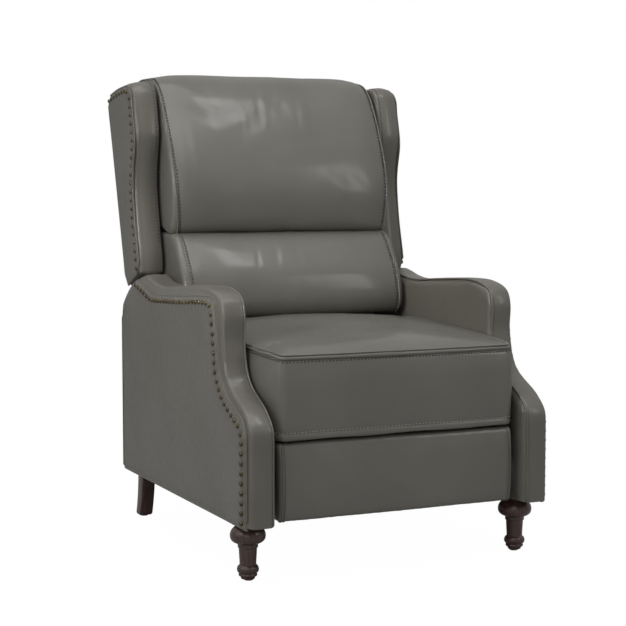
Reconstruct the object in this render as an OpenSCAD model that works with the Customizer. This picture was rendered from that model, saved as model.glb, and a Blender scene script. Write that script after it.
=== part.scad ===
// Wingback push-back recliner.
// Leaning on the back opens it: the back turns on two hinge pins, the seat rides forward
// on four swing links, and a lazy-tongs linkage on each side carries the footrest out.
//
// X runs across the chair, +Y to the back, +Z up. Side outlines are [y, z] pairs with
// y measured back from the arm fronts; side_slab() and loft() centre them on the chair.

/* [Overall size] */
// Width over the nail heads
chair_w = 700; // [690:1:710]
// Depth from the arm fronts to the top of the back
chair_d = 891; // [889:1:893]
// Height of the legs under the upholstered body
leg_h = 121; // [119:1:123]

/* [Arms] */
// Thickness of an upholstered arm
arm_t = 60; // [58:0.5:62]
// Length of an arm
arm_l = 792; // [788:1:796]
// Radius of the padded outer edge
arm_round = 18; // [12:1:20]
// Thickness of the padding over the frame's edge
band_t = 12; // [10:1:14]

/* [Nails] */
// Spacing of the decorative nails
nail_pitch = 20; // [18:0.5:26]
// Radius of a nail head
nail_r = 4.5; // [4:0.25:5]
// Height of a nail head
nail_h = 3; // [2.5:0.25:3]

/* [Seat] */
// Half width of the seat cushion
seat_hw = 263; // [260:1:265]
// Crown of the seat cushion above its side edges
seat_crown = 13; // [8:1:16]
// Half width of the footrest
rest_hw = 271; // [268:1:273]

/* [Back] */
// Lean of the upright back from the vertical
lean = 16.2; // [15.8:0.1:16.6]
// Half width of the back cushions
cushion_hw = 279; // [274:1:281]
// Thickness of a wing
wing_t = 58; // [56:1:60]

/* [Mechanism] */
// Height of the back's hinge above the floor
pivot_z = 330; // [328:1:332]
// Distance of the back's hinge behind the arm fronts
pivot_y = 600; // [598:1:602]
// Length of a seat swing link
swing_l = 55; // [54:0.5:56]
// Lean of the seat swing links at rest
swing_rest = 38; // [36:1:39]
// Thickness of the steel plates and links
plate_t = 3; // [2.5:0.25:3]
// Radius of the link pins
pin_r = 4; // [3.5:0.25:4]

/* [Hidden] */
$fn = 48;
y_mid = chair_d / 2;
arm_out = chair_w / 2 - nail_h;
arm_in = arm_out - arm_t;
wing_in = arm_in - 1;
wing_out = wing_in + wing_t;
back_y = 777;
back_z = 620;
pivot = [pivot_y, pivot_z];
arm_arc_r = 262;
wing_arc_r = 272;
shell_r = 172;
run = 0.05;
open_run = 2;
SIDES = [-1, 1];

// The plates stand in layers beside each other, numbered inwards from the arm.
layer_pitch = plate_t + 1.6;
function layer(n) = arm_in - 0.4 - plate_t - n * layer_pitch;
MOUNT = 0;
SWING = 1;
CARRIAGE = 2;
LEAD = 3;
UPPER = 4;
CROSS = 5;
LOWER = 6;

// Pins of the footrest linkage at rest
lead_pin = [251.6, 240.6];
cross_pin = [286.1, 267.3];
lead_tip = [385.1, 146.9];
cross_knee = [420.1, 176.6];
cross_tip = [412.5, 135.1];
rest_top = [112.5, 262.9];
rest_low = [91.5, 213.3];
front_swing_pin = [120, 200];
rear_swing_pin = [440, 200];
swing_reach = swing_l * [sin(swing_rest), cos(swing_rest)];
mount_bolt_at = [[210, 172], [350, 172], [600, 172], [600, 258]];

// Legs and what holds them
front_leg_at = [314.5, 83];
rear_leg_at = [303, 747];
bolt_r = 4;

// Outline of an arm's side, from the lower front corner, anticlockwise
arm_curve = [[566, 577], [500, 572], [380, 580], [264, 585], [207, 578], [166, 561], [150, 530],
             [149, 479], [137, 420], [110, 383], [48, 354], [17, 334], [4, 318], [0, 298]];
arm_rear_a = acos((arm_l - pivot_y) / arm_arc_r);
arm_side = concat([[0, leg_h], [arm_l, leg_h]],
                  arc(pivot, arm_arc_r, arm_rear_a, 86, 8),
                  smooth(arm_curve, 4));
arm_nail_line = [[668, 565], [624, 554], [571, 540], [528, 538], [452, 542], [370, 546], [293, 552],
                 [218, 555], [200, 549], [191, 514], [183, 451], [176, 414], [152, 380], [125, 358],
                 [88, 339], [53, 323], [41, 310], [37, 291], [37, 130]];

// Outline of a wing's side, from the lower front corner, anticlockwise
wing_curve = [[886, 992], [880, 1008], [860, 1019], [808, 1028], [760, 1034], [728, 1034],
              [706, 1020], [697, 995], [684, 950], [678, 915], [683, 880], [692, 838], [693, 788],
              [682, 725], [670, 670], [662, 636], [660, 612]];
wing_side = concat(arc(pivot, wing_arc_r, 77, 58, 6),
                   [[767, 580], [back_y, back_z], back_at(800, 0), back_at(940, 0)],
                   smooth(wing_curve, 3));
wing_nail_line = [[868, 997], [808, 1009], [760, 1014], [736, 1014], [718, 1000], [712, 968],
                  [699, 915], [698, 885], [709, 835], [711, 790], [700, 710], [680, 630], [675, 603]];

// Sections of the cushions, anticlockwise from the lower front
seat_side = [[26, 292], [66, 292], [66, 349], [598, 349], [603, 380], [603, 438], [596, 461],
             [560, 474], [523, 482], [428, 483], [325, 480], [219, 476], [112, 471], [60, 466],
             [34, 457], [22, 430], [17, 380], [18, 330], [21, 303]];
upper_side = concat([[636, 687], back_at(687, 50), back_at(1004, 50), back_at(1004, 13),
                     back_at(1028, 13), back_at(1040, 17), back_at(1049, 28)],
                    [[838, 1056], [800, 1058], [766, 1056], [735, 1048], [712, 1032], [686, 976],
                     [658, 912], [640, 882], [618, 806], [609, 736], [616, 702]]);
lumbar_side = [[548, 494], [600, 489], back_at(489, 50), back_at(681, 50), [622, 681], [594, 660],
               [566, 628], [527, 568], [524, 520]];
rest_side = [[34, 124], [54, 122], [60, 126], [60, 281], [54, 285], [34, 284], [25, 276], [22, 240],
             [21, 200], [22, 160], [25, 132]];

// ---- Functions ----

// Points of an arc about c, from angle a0 to a1
function arc(c, r, a0, a1, n) =
    [for (i = [0:n]) let (a = a0 + (a1 - a0) * i / n) c + r * [cos(a), sin(a)]];

// A smooth curve through the points p, with n steps to each span
function smooth(p, n) = concat(
    [for (i = [0:len(p) - 2]) each let (
        a = p[max(i - 1, 0)], b = p[i], c = p[i + 1], d = p[min(i + 2, len(p) - 1)])
        [for (j = [0:n - 1]) let (t = j / n)
            b + (c - a) * t / 2 + (2 * a - 5 * b + 4 * c - d) * t * t / 2
            + (3 * b - a - 3 * c + d) * t * t * t / 2]],
    [p[len(p) - 1]]);

// A point at height z on the back's rear plane, moved forwards by t square to the plane
function back_at(z, t) =
    [back_y + (z - back_z) * tan(lean) - t * cos(lean), z + t * sin(lean)];

function unit(v) = v / norm(v);
function left_of(v) = [-v[1], v[0]];

// An anticlockwise outline moved inwards by d
function inset(p, d) = [for (i = [0:len(p) - 1])
    let (n = len(p), n1 = left_of(unit(p[i] - p[(i + n - 1) % n])),
         n2 = left_of(unit(p[(i + 1) % n] - p[i])), m = unit(n1 + n2))
    p[i] + m * d / max(0.35, m * n1)];

// Rings from x0 to x1 whose outline is drawn in at both ends by rounded edges r0 and r1
function rounded_rings(p, x0, r0, x1, r1, n = 4) = concat(
    [for (i = [0:n]) let (a = 90 - 90 * i / n) [x0 + r0 * (1 - sin(a)), inset(p, r0 * (1 - cos(a)))]],
    [for (i = [0:n]) let (a = 90 * i / n) [x1 - r1 * (1 - sin(a)), inset(p, r1 * (1 - cos(a)))]]);

// Lengths along a line of points, and the point at a given length
function run_to(p, i) = i == 0 ? 0 : run_to(p, i - 1) + norm(p[i] - p[i - 1]);
function point_at(p, s, i = 1) = let (l = norm(p[i] - p[i - 1]))
    s <= l || i == len(p) - 1 ? p[i - 1] + (p[i] - p[i - 1]) * s / l : point_at(p, s - l, i + 1);

// ---- Building blocks ----

// A solid through rings of equal length, each [x, outline]
module loft(rings) {
    n = len(rings[0][1]);
    k = len(rings);
    points = [for (r = rings) for (q = r[1]) [r[0], q[0] - y_mid, q[1]]];
    walls = [for (j = [0:k - 2]) for (i = [0:n - 1])
        let (a = j * n + i, b = j * n + (i + 1) % n)
        each [[a, a + n, b + n], [a, b + n, b]]];
    polyhedron(points, concat([[for (i = [0:n - 1]) i]], walls,
                              [[for (i = [n - 1:-1:0]) (k - 1) * n + i]]));
}

// A side outline given thickness from x0 to x1
module side_slab(x0, x1) {
    translate([x0, -y_mid, 0]) rotate([90, 0, 90]) linear_extrude(x1 - x0) children();
}

// A hollow ring of a solid: the rings are joined in a circle, the last one to the first
module closed_loft(rings) {
    n = len(rings[0][1]);
    k = len(rings);
    points = [for (r = rings) for (q = r[1]) [r[0], q[0] - y_mid, q[1]]];
    polyhedron(points, [for (j = [0:k - 1]) for (i = [0:n - 1])
        let (a = j * n + i, b = j * n + (i + 1) % n, c = (j + 1) % k * n + i,
             d = (j + 1) % k * n + (i + 1) % n)
        each [[a, c, d], [a, d, b]]]);
}

// The same on the chosen side, in and out measured from the middle of the chair
module on_side(side) {
    if (side > 0) children();
    else mirror([1, 0, 0]) children();
}

// A flat bar with round ends
module bar(p, q, w) {
    translate(p) circle(w / 2);
    translate(q) circle(w / 2);
    translate(p) rotate(atan2(q[1] - p[1], q[0] - p[0])) translate([0, -w / 2]) square([norm(q - p), w]);
}

// A bent flat bar through a, b and c, where the way turns left at b
module elbow(a, b, c, w) {
    u = left_of(unit(b - a));
    v = left_of(unit(c - b));
    au = atan2(u[1], u[0]);
    av = atan2(v[1], v[0]);
    turn = (av - au + 360) % 360;
    polygon(concat(arc(a, w / 2, au, au + 180, 12), arc(b, w / 2, au + 180, au + 180 + turn, 5),
                   arc(c, w / 2, av + 180, av + 360, 12), [b + unit(u + v) * w / 2 / cos(turn / 2)]));
}

module hole(p, r) {
    translate(p) circle(r);
}

// A round pin along X between x0 and x1
module pin(p, r, x0, x1) {
    translate([min(x0, x1), p[0] - y_mid, p[1]]) rotate([0, 90, 0]) cylinder(r = r, h = abs(x1 - x0));
}

// A riveted stud that stands on layer a and holds layer b with a head past it
module stud(p, a, b, r = pin_r, head_r = 7) {
    inwards = b > a;
    from = inwards ? layer(a) + 0.5 : layer(a) + plate_t - 0.5;
    to = inwards ? layer(b) - 0.6 : layer(b) + plate_t + 0.6;
    pin(p, r, from, to);
    pin(p, head_r, inwards ? layer(b) - 1.2 : layer(b) + plate_t + 0.2,
        inwards ? layer(b) - 0.2 : layer(b) + plate_t + 1.2);
}

// A domed nail head standing out along X
module nail(p, x) {
    translate([x, p[0] - y_mid, p[1]]) rotate([0, 90, 0])
        rotate_extrude($fn = 24)
            polygon([[0, 0], [nail_r, 0], [nail_r * 0.94, nail_h * 0.4], [nail_r * 0.62, nail_h * 0.82],
                     [0, nail_h]]);
}

module nail_row(line, x) {
    total = run_to(line, len(line) - 1);
    count = floor(total / nail_pitch);
    for (i = [0:count]) nail(point_at(line, i * total / count), x);
}

// A sinuous spring wire of length l along X, in the XY plane
module sinuous(l, pitch, width, wire) {
    n = floor(l / pitch);
    linear_extrude(wire) {
        for (i = [0:n]) translate([i * pitch - wire / 2, -width / 2 + pitch / 2])
            square([wire, width - pitch]);
        for (i = [0:n - 1]) {
            s = i % 2 == 0 ? 1 : -1;
            translate([(i + 0.5) * pitch, s * (width / 2 - pitch / 2)]) intersection() {
                difference() {
                    circle((pitch + wire) / 2);
                    circle((pitch - wire) / 2);
                }
                translate([-pitch, s > 0 ? 0 : -pitch]) square([2 * pitch, pitch]);
            }
        }
    }
}

// Places the XY plane on the back's rear plane: Y runs up it and Z points forwards
module on_back() {
    translate([0, back_y - y_mid, back_z]) rotate([90 - lean, 0, 0]) children();
}

// ---- Fixed base: arms, legs, rails and mechanism mounts ----

frame_in = arm_in + 10;
frame_out = arm_out - 9.5;

module arm_frame(side) {
    color("burlywood") on_side(side) difference() {
        side_slab(frame_in, frame_out) difference() {
            polygon(inset(arm_side, band_t + 0.4));
            for (c = [[110, 250], [240, 430], [350, 430], [460, 430], [570, 430], [680, 430],
                      [680, 310], [460, 270]])
                hole(c, 42);
        }
        for (b = mount_bolt_at) pin(b, 3.2, frame_in - 1, frame_in + 17);
        leg_bolt_holes();
    }
}

module leg_bolt_holes() {
    for (p = [front_leg_at, rear_leg_at])
        translate([p[0], p[1] - y_mid, leg_h - 1]) cylinder(r = bolt_r + run, h = 46);
}

module arm_outer_panel(side) {
    color("dimgray") on_side(side)
        side_slab(frame_out + 0.2, arm_out) polygon(inset(arm_side, 26));
}

module arm_inner_panel(side) {
    color("dimgray") on_side(side)
        side_slab(arm_in, frame_in - 0.3) difference() {
            polygon(inset(arm_side, band_t + 0.4));
            for (b = mount_bolt_at) hole(b, 3.2);
        }
}

module arm_band(side) {
    color("gray") on_side(side) difference() {
        closed_loft(concat(rounded_rings(arm_side, arm_in, 10, arm_out, arm_round),
                           [[arm_out, inset(arm_side, 25.6)], [frame_out, inset(arm_side, 25.6)],
                            [frame_out, inset(arm_side, band_t)], [arm_in, inset(arm_side, band_t)]]));
        leg_bolt_holes();
    }
}

module arm_nails() {
    color("darkgoldenrod") for (s = SIDES) on_side(s) nail_row(arm_nail_line, arm_out);
}

// A turned leg: ball foot, two rings, a plain column and a wide collar under the body
module front_leg(side) {
    column = [[17, 32], [18.6, 66], [20.5, 69], [20.5, 73], [24, 76], [32, 80], [35, 86], [35, 92],
              [32, 98], [27, 103], [27, leg_h]];
    foot = [[0, 3], [11.5, 3], [13.5, 8], [18, 9.5], [18.5, 13], [17.5, 15.5], [21, 17], [22.3, 22],
            [22.3, 26], [20, 30.5]];
    color("saddlebrown") on_side(side) difference() {
        translate([front_leg_at[0], front_leg_at[1] - y_mid, 0])
            rotate_extrude() polygon(concat(foot, column, [[0, leg_h]]));
        translate([front_leg_at[0], front_leg_at[1] - y_mid, leg_h - 36]) cylinder(r = bolt_r + run, h = 40);
    }
}

// A square leg swept back towards its foot
module rear_leg(side) {
    sweep = 21;
    front = [for (i = [0:8]) let (t = i / 8)
        [rear_leg_at[1] - 18 + 3 * (1 - t) + sweep * pow(1 - t, 2), 3 + (leg_h - 3) * t]];
    rear = [for (i = [0:8]) let (t = 1 - i / 8)
        [rear_leg_at[1] + 18 - 3 * (1 - t) + sweep * pow(1 - t, 2), 3 + (leg_h - 3) * t]];
    color("saddlebrown") on_side(side) difference() {
        side_slab(rear_leg_at[0] - 16, rear_leg_at[0] + 16) polygon(concat(rear, front));
        translate([rear_leg_at[0], rear_leg_at[1] - y_mid, leg_h - 36]) cylinder(r = bolt_r + run, h = 40);
    }
}

module leg_glides() {
    color("gainsboro") for (s = SIDES) on_side(s)
        for (p = [front_leg_at, rear_leg_at + [0, 21]])
            translate([p[0], p[1] - y_mid, 0]) {
                cylinder(r1 = 8, r2 = 10, h = 1.5);
                translate([0, 0, 1.5]) cylinder(r = 10, h = 1.5);
            }
}

module leg_bolts() {
    color("silver") for (s = SIDES) on_side(s)
        for (p = [front_leg_at, rear_leg_at])
            translate([p[0], p[1] - y_mid, leg_h - 35]) cylinder(r = bolt_r, h = 78);
}

module rear_rail() {
    color("burlywood") translate([-arm_in, 742 - y_mid, leg_h + 9]) cube([2 * arm_in, 33, 68]);
}

module rear_lower_panel() {
    panel = [[776, leg_h], [788, leg_h], [790, leg_h + 3], [790, 356], [786, 360], [779, 360], [776, 357]];
    color("dimgray") side_slab(-arm_in + 0.4, arm_in - 0.4) polygon(panel);
}

module base_tube() {
    x = layer(MOUNT);
    color("silver") difference() {
        pin([520, 168], 12.5, -x, x);
        pin([520, 168], 10.5, -x - 1, x + 1);
    }
}

module mount_plate(side) {
    x = layer(MOUNT);
    color("silver") on_side(side) {
        side_slab(x, x + plate_t) difference() {
            union() {
                bar([107, 186], [628, 186], 46);
                translate([96, 186]) square([40, 34]);
                bar(front_swing_pin, front_swing_pin + [0, -10], 40);
                bar(rear_swing_pin, rear_swing_pin + [0, -10], 40);
                bar(pivot, [pivot[0], 190], 46);
            }
            for (b = mount_bolt_at) hole(b, 3.2);
        }
        stud(front_swing_pin, MOUNT, SWING);
        stud(rear_swing_pin, MOUNT, SWING);
        stud(pivot, MOUNT, SWING, 6, 11);
    }
}

module mount_bolts() {
    x = layer(MOUNT);
    color("dimgray") for (s = SIDES) on_side(s) for (b = mount_bolt_at) {
        pin(b, 3, x - 1, frame_in + 16);
        translate([x - 2.4, b[0] - y_mid, b[1]]) rotate([0, 90, 0]) cylinder(r = 6.5, h = 2.2);
    }
}

// ---- Seat swing links ----

module swing_link(side, foot, top_run) {
    top = foot + swing_reach;
    color("gainsboro") on_side(side)
        side_slab(layer(SWING), layer(SWING) + plate_t) difference() {
            bar(foot, top, 24);
            hole(foot, pin_r + run);
            hole(top, pin_r + top_run);
        }
}

module torque_tube() {
    x = layer(SWING);
    color("silver") difference() {
        pin(rear_swing_pin, 10, -x, x);
        pin(rear_swing_pin, 8.2, -x - 1, x + 1);
    }
}

// ---- Seat carriage ----

rail_z = 300;
rail_top = 344;
rail_in = 238;
rail_out = 262;
screw_at = [170, 330, 480];

module seat_cross_rail(y) {
    color("burlywood") translate([-rail_in, y - y_mid, rail_z]) cube([2 * rail_in, 24, rail_top - rail_z]);
}

module seat_side_rail(side) {
    color("burlywood") on_side(side) difference() {
        translate([rail_in, 72 - y_mid, rail_z]) cube([rail_out - rail_in, 518, rail_top - rail_z]);
        for (y = screw_at) translate([250, y - y_mid, rail_z - 1]) cylinder(r = 2.1, h = 26);
    }
}

module seat_springs() {
    color("slategray") for (x = [-180:90:180])
        translate([x, 84 - y_mid, rail_top]) rotate([0, 0, 90]) sinuous(494, 26, 52, 3.5);
}

module seat_cushion() {
    function crowned(x) = [for (q = seat_side)
        let (w = min(1, max(0, (q[1] - 440) / 30)), c = seat_crown * (1 - pow(x / seat_hw, 2)))
        [q[0], q[1] + w * c]];
    rounding = [for (i = [0:4]) let (a = 90 - 90 * i / 4) [16 * (1 - sin(a)), 16 * (1 - cos(a))]];
    left = [for (r = rounding) [-seat_hw + r[0], inset(crowned(-seat_hw + r[0]), r[1])]];
    middle = [for (x = [-180:60:180]) [x, crowned(x)]];
    right = [for (i = [4:-1:0]) let (r = rounding[i])
        [seat_hw - r[0], inset(crowned(seat_hw - r[0]), r[1])]];
    color("gray") loft(concat(left, middle, right));
}

module carriage_plate(side) {
    x = layer(CARRIAGE);
    color("silver") on_side(side) {
        side_slab(x, x + plate_t) translate([134, 226]) square([366, rail_z - 226]);
        translate([rail_in, 134 - y_mid, rail_z - plate_t]) difference() {
            cube([x + plate_t - rail_in, 366, plate_t]);
            for (y = screw_at) translate([250 - rail_in, y - 134, -1]) cylinder(r = 2.2, h = 6);
        }
        stud(front_swing_pin + swing_reach, CARRIAGE, SWING);
        stud(rear_swing_pin + swing_reach, CARRIAGE, SWING);
        stud(lead_pin, CARRIAGE, LEAD);
        stud(cross_pin, CARRIAGE, CROSS);
        pin(cross_pin, 7, x, layer(CROSS) + plate_t + 0.4);
    }
}

module carriage_screws() {
    color("dimgray") for (s = SIDES) on_side(s) for (y = screw_at)
        translate([250, y - y_mid, rail_z - plate_t - 2.2]) {
            cylinder(r = 4.5, h = 2);
            cylinder(r = 2, h = 26);
        }
}

// ---- Footrest linkage ----

module link(side, n) {
    color("gainsboro") on_side(side)
        side_slab(layer(n), layer(n) + plate_t) children();
}

module lead_link(side) {
    link(side, LEAD) difference() {
        bar(lead_pin, lead_tip, 18);
        hole(lead_pin, pin_r + run);
    }
    color("gainsboro") on_side(side) stud(lead_tip, LEAD, UPPER);
}

module cross_link(side) {
    link(side, CROSS) difference() {
        elbow(cross_tip, cross_knee, cross_pin, 18);
        hole(cross_pin, pin_r + run);
    }
    color("gainsboro") on_side(side) {
        stud(cross_knee, CROSS, UPPER, pin_r, 8.5);
        stud(cross_tip, CROSS, LOWER);
    }
}

module upper_link(side) {
    link(side, UPPER) difference() {
        elbow(rest_top, lead_tip, cross_knee, 20);
        hole(cross_knee, pin_r + open_run);
        hole(lead_tip, pin_r + run);
        hole(rest_top, pin_r + run);
    }
}

module lower_link(side) {
    link(side, LOWER) difference() {
        bar(cross_tip, rest_low, 20);
        hole(cross_tip, pin_r + run);
        hole(rest_low, pin_r + open_run);
    }
}

// ---- Footrest ----

module footrest_board() {
    color("burlywood") translate([-262, 60.4 - y_mid, 128]) cube([524, 14.6, 151]);
}

module footrest_pad() {
    color("gray") loft(rounded_rings(rest_side, -rest_hw, 12, rest_hw, 12));
}

module footrest_bracket(side) {
    x = layer(CROSS);
    color("silver") on_side(side) {
        side_slab(x, x + plate_t) {
            polygon([[75, 192], [92, 203], [123, 258], [118, 272], [75, 276]]);
            hole(rest_top, 11);
            hole(rest_low, 11);
        }
        translate([x - 28, 75 - y_mid, 186]) cube([28 + plate_t, plate_t, 92]);
        stud(rest_top, CROSS, UPPER);
        stud(rest_low, CROSS, LOWER, pin_r, 8.5);
    }
}

// ---- Back ----

post_in = 247;
post_out = layer(SWING) - 0.4;
post_lo = 13;
post_hi = 44;

module back_post(side) {
    color("burlywood") on_side(side) on_back() {
        translate([post_in, -198, post_lo]) cube([post_out - post_in, 578, post_hi - post_lo]);
        translate([post_in, 20, post_lo]) cube([wing_in - post_in, 360, post_hi - post_lo]);
    }
}

module back_rail(u, h) {
    color("burlywood") on_back() translate([-post_in, u, post_lo]) cube([2 * post_in, h, post_hi - post_lo]);
}

module back_springs() {
    color("slategray") on_back() for (u = [-110:90:250])
        translate([-260, u, post_hi + 0.2]) sinuous(520, 26, 44, 3.5);
}

module back_bracket(side) {
    x = layer(SWING);
    knee = back_at(452, 30);
    color("silver") on_side(side) side_slab(x, x + plate_t) difference() {
        union() {
            bar(pivot, knee, 34);
            bar(knee, back_at(590, 28), 28);
            hole(pivot, 20);
        }
        hole(pivot, 6 + run);
    }
}

module cushion_loft(p) {
    color("gray") loft(rounded_rings(p, -cushion_hw, 24, cushion_hw, 24));
}

module wing(side) {
    color("dimgray") on_side(side) loft(rounded_rings(wing_side, wing_in, 10, wing_out, 16, 3));
}

module wing_nails() {
    color("darkgoldenrod") for (s = SIDES) on_side(s) nail_row(wing_nail_line, wing_out);
}

// The outside back: a flat panel that turns into a round shell about the hinge, so that
// it slides past the fixed lower panel at every angle
module back_outer_panel() {
    skin = 12;
    flat_d = (back_y - pivot_y) * cos(lean) - (back_z - pivot_z) * sin(lean);
    a_out = acos(flat_d / shell_r) - lean;
    a_in = acos((flat_d - skin) / (shell_r - skin)) - lean;
    a_end = -10;
    panel = concat(arc(pivot, shell_r, a_end, a_out, 10),
                   [back_at(1012, 0), back_at(1016, 4), back_at(1012, skin)],
                   arc(pivot, shell_r - skin, a_in, a_end, 10));
    color("dimgray") side_slab(-wing_in + 0.6, wing_in - 0.6) polygon(panel);
}

arm_frame(-1);  // arm_frame_left
arm_frame(1);  // arm_frame_right
arm_outer_panel(-1);  // arm_outer_panel_left
arm_outer_panel(1);  // arm_outer_panel_right
arm_inner_panel(-1);  // arm_inner_panel_left
arm_inner_panel(1);  // arm_inner_panel_right
arm_band(-1);  // arm_band_left
arm_band(1);  // arm_band_right
arm_nails();
front_leg(-1);  // front_leg_left
front_leg(1);  // front_leg_right
rear_leg(-1);  // rear_leg_left
rear_leg(1);  // rear_leg_right
leg_glides();
leg_bolts();
rear_rail();
rear_lower_panel();
base_tube();
mount_plate(-1);  // mount_plate_left
mount_plate(1);  // mount_plate_right
mount_bolts();
swing_link(-1, front_swing_pin, run);  // front_swing_link_left
swing_link(1, front_swing_pin, run);  // front_swing_link_right
swing_link(-1, rear_swing_pin, 0.4);  // rear_swing_link_left
swing_link(1, rear_swing_pin, 0.4);  // rear_swing_link_right
torque_tube();
seat_cross_rail(72);  // seat_front_rail
seat_cross_rail(566);  // seat_rear_rail
seat_side_rail(-1);  // seat_side_rail_left
seat_side_rail(1);  // seat_side_rail_right
seat_springs();
seat_cushion();
carriage_plate(-1);  // carriage_plate_left
carriage_plate(1);  // carriage_plate_right
carriage_screws();
lead_link(-1);  // lead_link_left
lead_link(1);  // lead_link_right
cross_link(-1);  // cross_link_left
cross_link(1);  // cross_link_right
upper_link(-1);  // upper_link_left
upper_link(1);  // upper_link_right
lower_link(-1);  // lower_link_left
lower_link(1);  // lower_link_right
footrest_board();
footrest_pad();
footrest_bracket(-1);  // footrest_bracket_left
footrest_bracket(1);  // footrest_bracket_right
back_post(-1);  // back_post_left
back_post(1);  // back_post_right
back_rail(330, 50);  // back_top_rail
back_rail(-198, 50);  // back_bottom_rail
back_springs();
back_bracket(-1);  // back_bracket_left
back_bracket(1);  // back_bracket_right
cushion_loft(upper_side);  // back_cushion
cushion_loft(lumbar_side);  // lumbar_cushion
wing(-1);  // wing_left
wing(1);  // wing_right
wing_nails();
back_outer_panel();
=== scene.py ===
# %% [markdown]
# # A wingback recliner, dressed
#
# The rigid chair (frames, plates, links, springs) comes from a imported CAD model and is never
# moved here. This lesson upholsters it: leather arms and wings with brass nails, stuffed
# cushions, turned legs. Every piece is made where it belongs, in metres, and then rides on
# the CAD body that carries it, so the chair still opens.

# %% Tools and the frame
import math

import bpy
import numpy as np
from mathutils import Matrix, Vector, kdtree, noise


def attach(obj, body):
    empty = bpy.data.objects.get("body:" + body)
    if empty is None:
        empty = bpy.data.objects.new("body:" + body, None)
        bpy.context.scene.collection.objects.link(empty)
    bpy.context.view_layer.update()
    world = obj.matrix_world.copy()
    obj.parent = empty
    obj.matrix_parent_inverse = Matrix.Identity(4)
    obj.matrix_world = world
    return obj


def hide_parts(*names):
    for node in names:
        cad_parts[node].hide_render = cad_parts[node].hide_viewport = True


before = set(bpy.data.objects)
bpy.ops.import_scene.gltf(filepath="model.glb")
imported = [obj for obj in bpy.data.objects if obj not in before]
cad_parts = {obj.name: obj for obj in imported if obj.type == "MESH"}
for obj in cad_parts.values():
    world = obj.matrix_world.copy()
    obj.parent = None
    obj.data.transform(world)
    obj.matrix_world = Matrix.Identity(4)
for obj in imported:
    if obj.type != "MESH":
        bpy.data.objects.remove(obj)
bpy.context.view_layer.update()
FRONT = -0.4455          # Y of the arms' front plane; depths below are measured back from it
LEFT, RIGHT = -1, 1
SIDES = ((LEFT, "left"), (RIGHT, "right"))

# %% [markdown]
# ## Small hand tools
#
# Blender's operators work on whatever is selected, so each step begins by clearing the
# selection. A finished piece sits at the origin with its place in its mesh, as the CAD
# parts do, so that patterns and joints agree with it.

# %% Selecting and finishing pieces
def clear():
    bpy.ops.object.select_all(action="DESELECT")


def only(piece):
    clear()
    piece.select_set(True)
    bpy.context.view_layer.objects.active = piece
    return piece


def apply_modifiers(piece):
    only(piece)
    for m in list(piece.modifiers):
        bpy.ops.object.modifier_apply(modifier=m.name)


def vectors_of(items, attribute):
    values = np.empty(len(items) * 3)
    items.foreach_get(attribute, values)
    return values.reshape(-1, 3)


def points_of(piece):
    return vectors_of(piece.data.vertices, "co")


def normals_of(piece):
    return vectors_of(piece.data.vertex_normals, "vector")


def place_points(piece, co):
    piece.data.vertices.foreach_set("co", np.asarray(co, float).ravel())
    piece.data.update()


def push_out(piece, co, move):
    """Places the points at co, each moved out along its normal by its own distance."""
    place_points(piece, co + normals_of(piece) * move[:, None])


def finish_piece(piece, name, material, body, replaces=(), angle=None):
    """Names the piece, smooths its shading, gives it its material and hangs it on its body."""
    only(piece)
    bpy.ops.object.transform_apply(location=True, rotation=True, scale=True)
    if angle is None:
        bpy.ops.object.shade_smooth()
    else:
        bpy.ops.object.shade_smooth_by_angle(angle=math.radians(angle))
    piece.name = piece.data.name = name
    piece.data.materials.clear()
    piece.data.materials.append(material)
    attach(piece, body)
    if replaces:
        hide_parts(*replaces)
    print(f"{name}: {len(piece.data.polygons)} faces")
    return piece

# %% [markdown]
# ## Lines and outlines
#
# An upholsterer works from card patterns. Here a pattern is a line of points in the side
# view: y back from the arm fronts, z up. `dense_line` draws a smooth line through a few given
# points, and an `Outline` keeps its corners, so it can be drawn in evenly for each ring.

# %% Smooth lines and evenly spaced points
def mm(*numbers):
    """Pairs of numbers in millimetres as points in metres."""
    return np.array(numbers).reshape(-1, 2) / 1000
def dense_line(points, closed=False, steps=12):
    """A Catmull-Rom curve through the points, with `steps` points to each span."""
    p = np.asarray(points, float)
    n = len(p)
    t = np.linspace(0, 1, steps, endpoint=False)[:, None]
    out = []
    for i in range(n if closed else n - 1):
        if closed:
            a, b, c, d = p[i - 1], p[i], p[(i + 1) % n], p[(i + 2) % n]
        else:
            a, b, c, d = p[max(i - 1, 0)], p[i], p[i + 1], p[min(i + 2, n - 1)]
        out.append(b + (c - a) * t / 2 + (2 * a - 5 * b + 4 * c - d) * t ** 2 / 2
                   + (3 * b - a - 3 * c + d) * t ** 3 / 2)
    if not closed:
        out.append(p[-1:])
    return np.concatenate(out)


def lengths_along(line):
    return np.concatenate([[0], np.cumsum(np.linalg.norm(np.diff(line, axis=0), axis=1))])


def at_lengths(line, s):
    run = lengths_along(line)
    return np.stack([np.interp(s, run, line[:, k]) for k in range(line.shape[1])], axis=1)


def spaced(line, step=None, count=None):
    """The line with evenly spaced points, ends included."""
    line = np.asarray(line, float)
    total = lengths_along(line)[-1]
    count = count or max(2, int(round(total / step)) + 1)
    return at_lengths(line, np.linspace(0, total, count))


def arc(centre, radius, start, end, count=24):
    a = np.radians(np.linspace(start, end, count))
    return np.stack([centre[0] + radius * np.cos(a), centre[1] + radius * np.sin(a)], axis=1)

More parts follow.
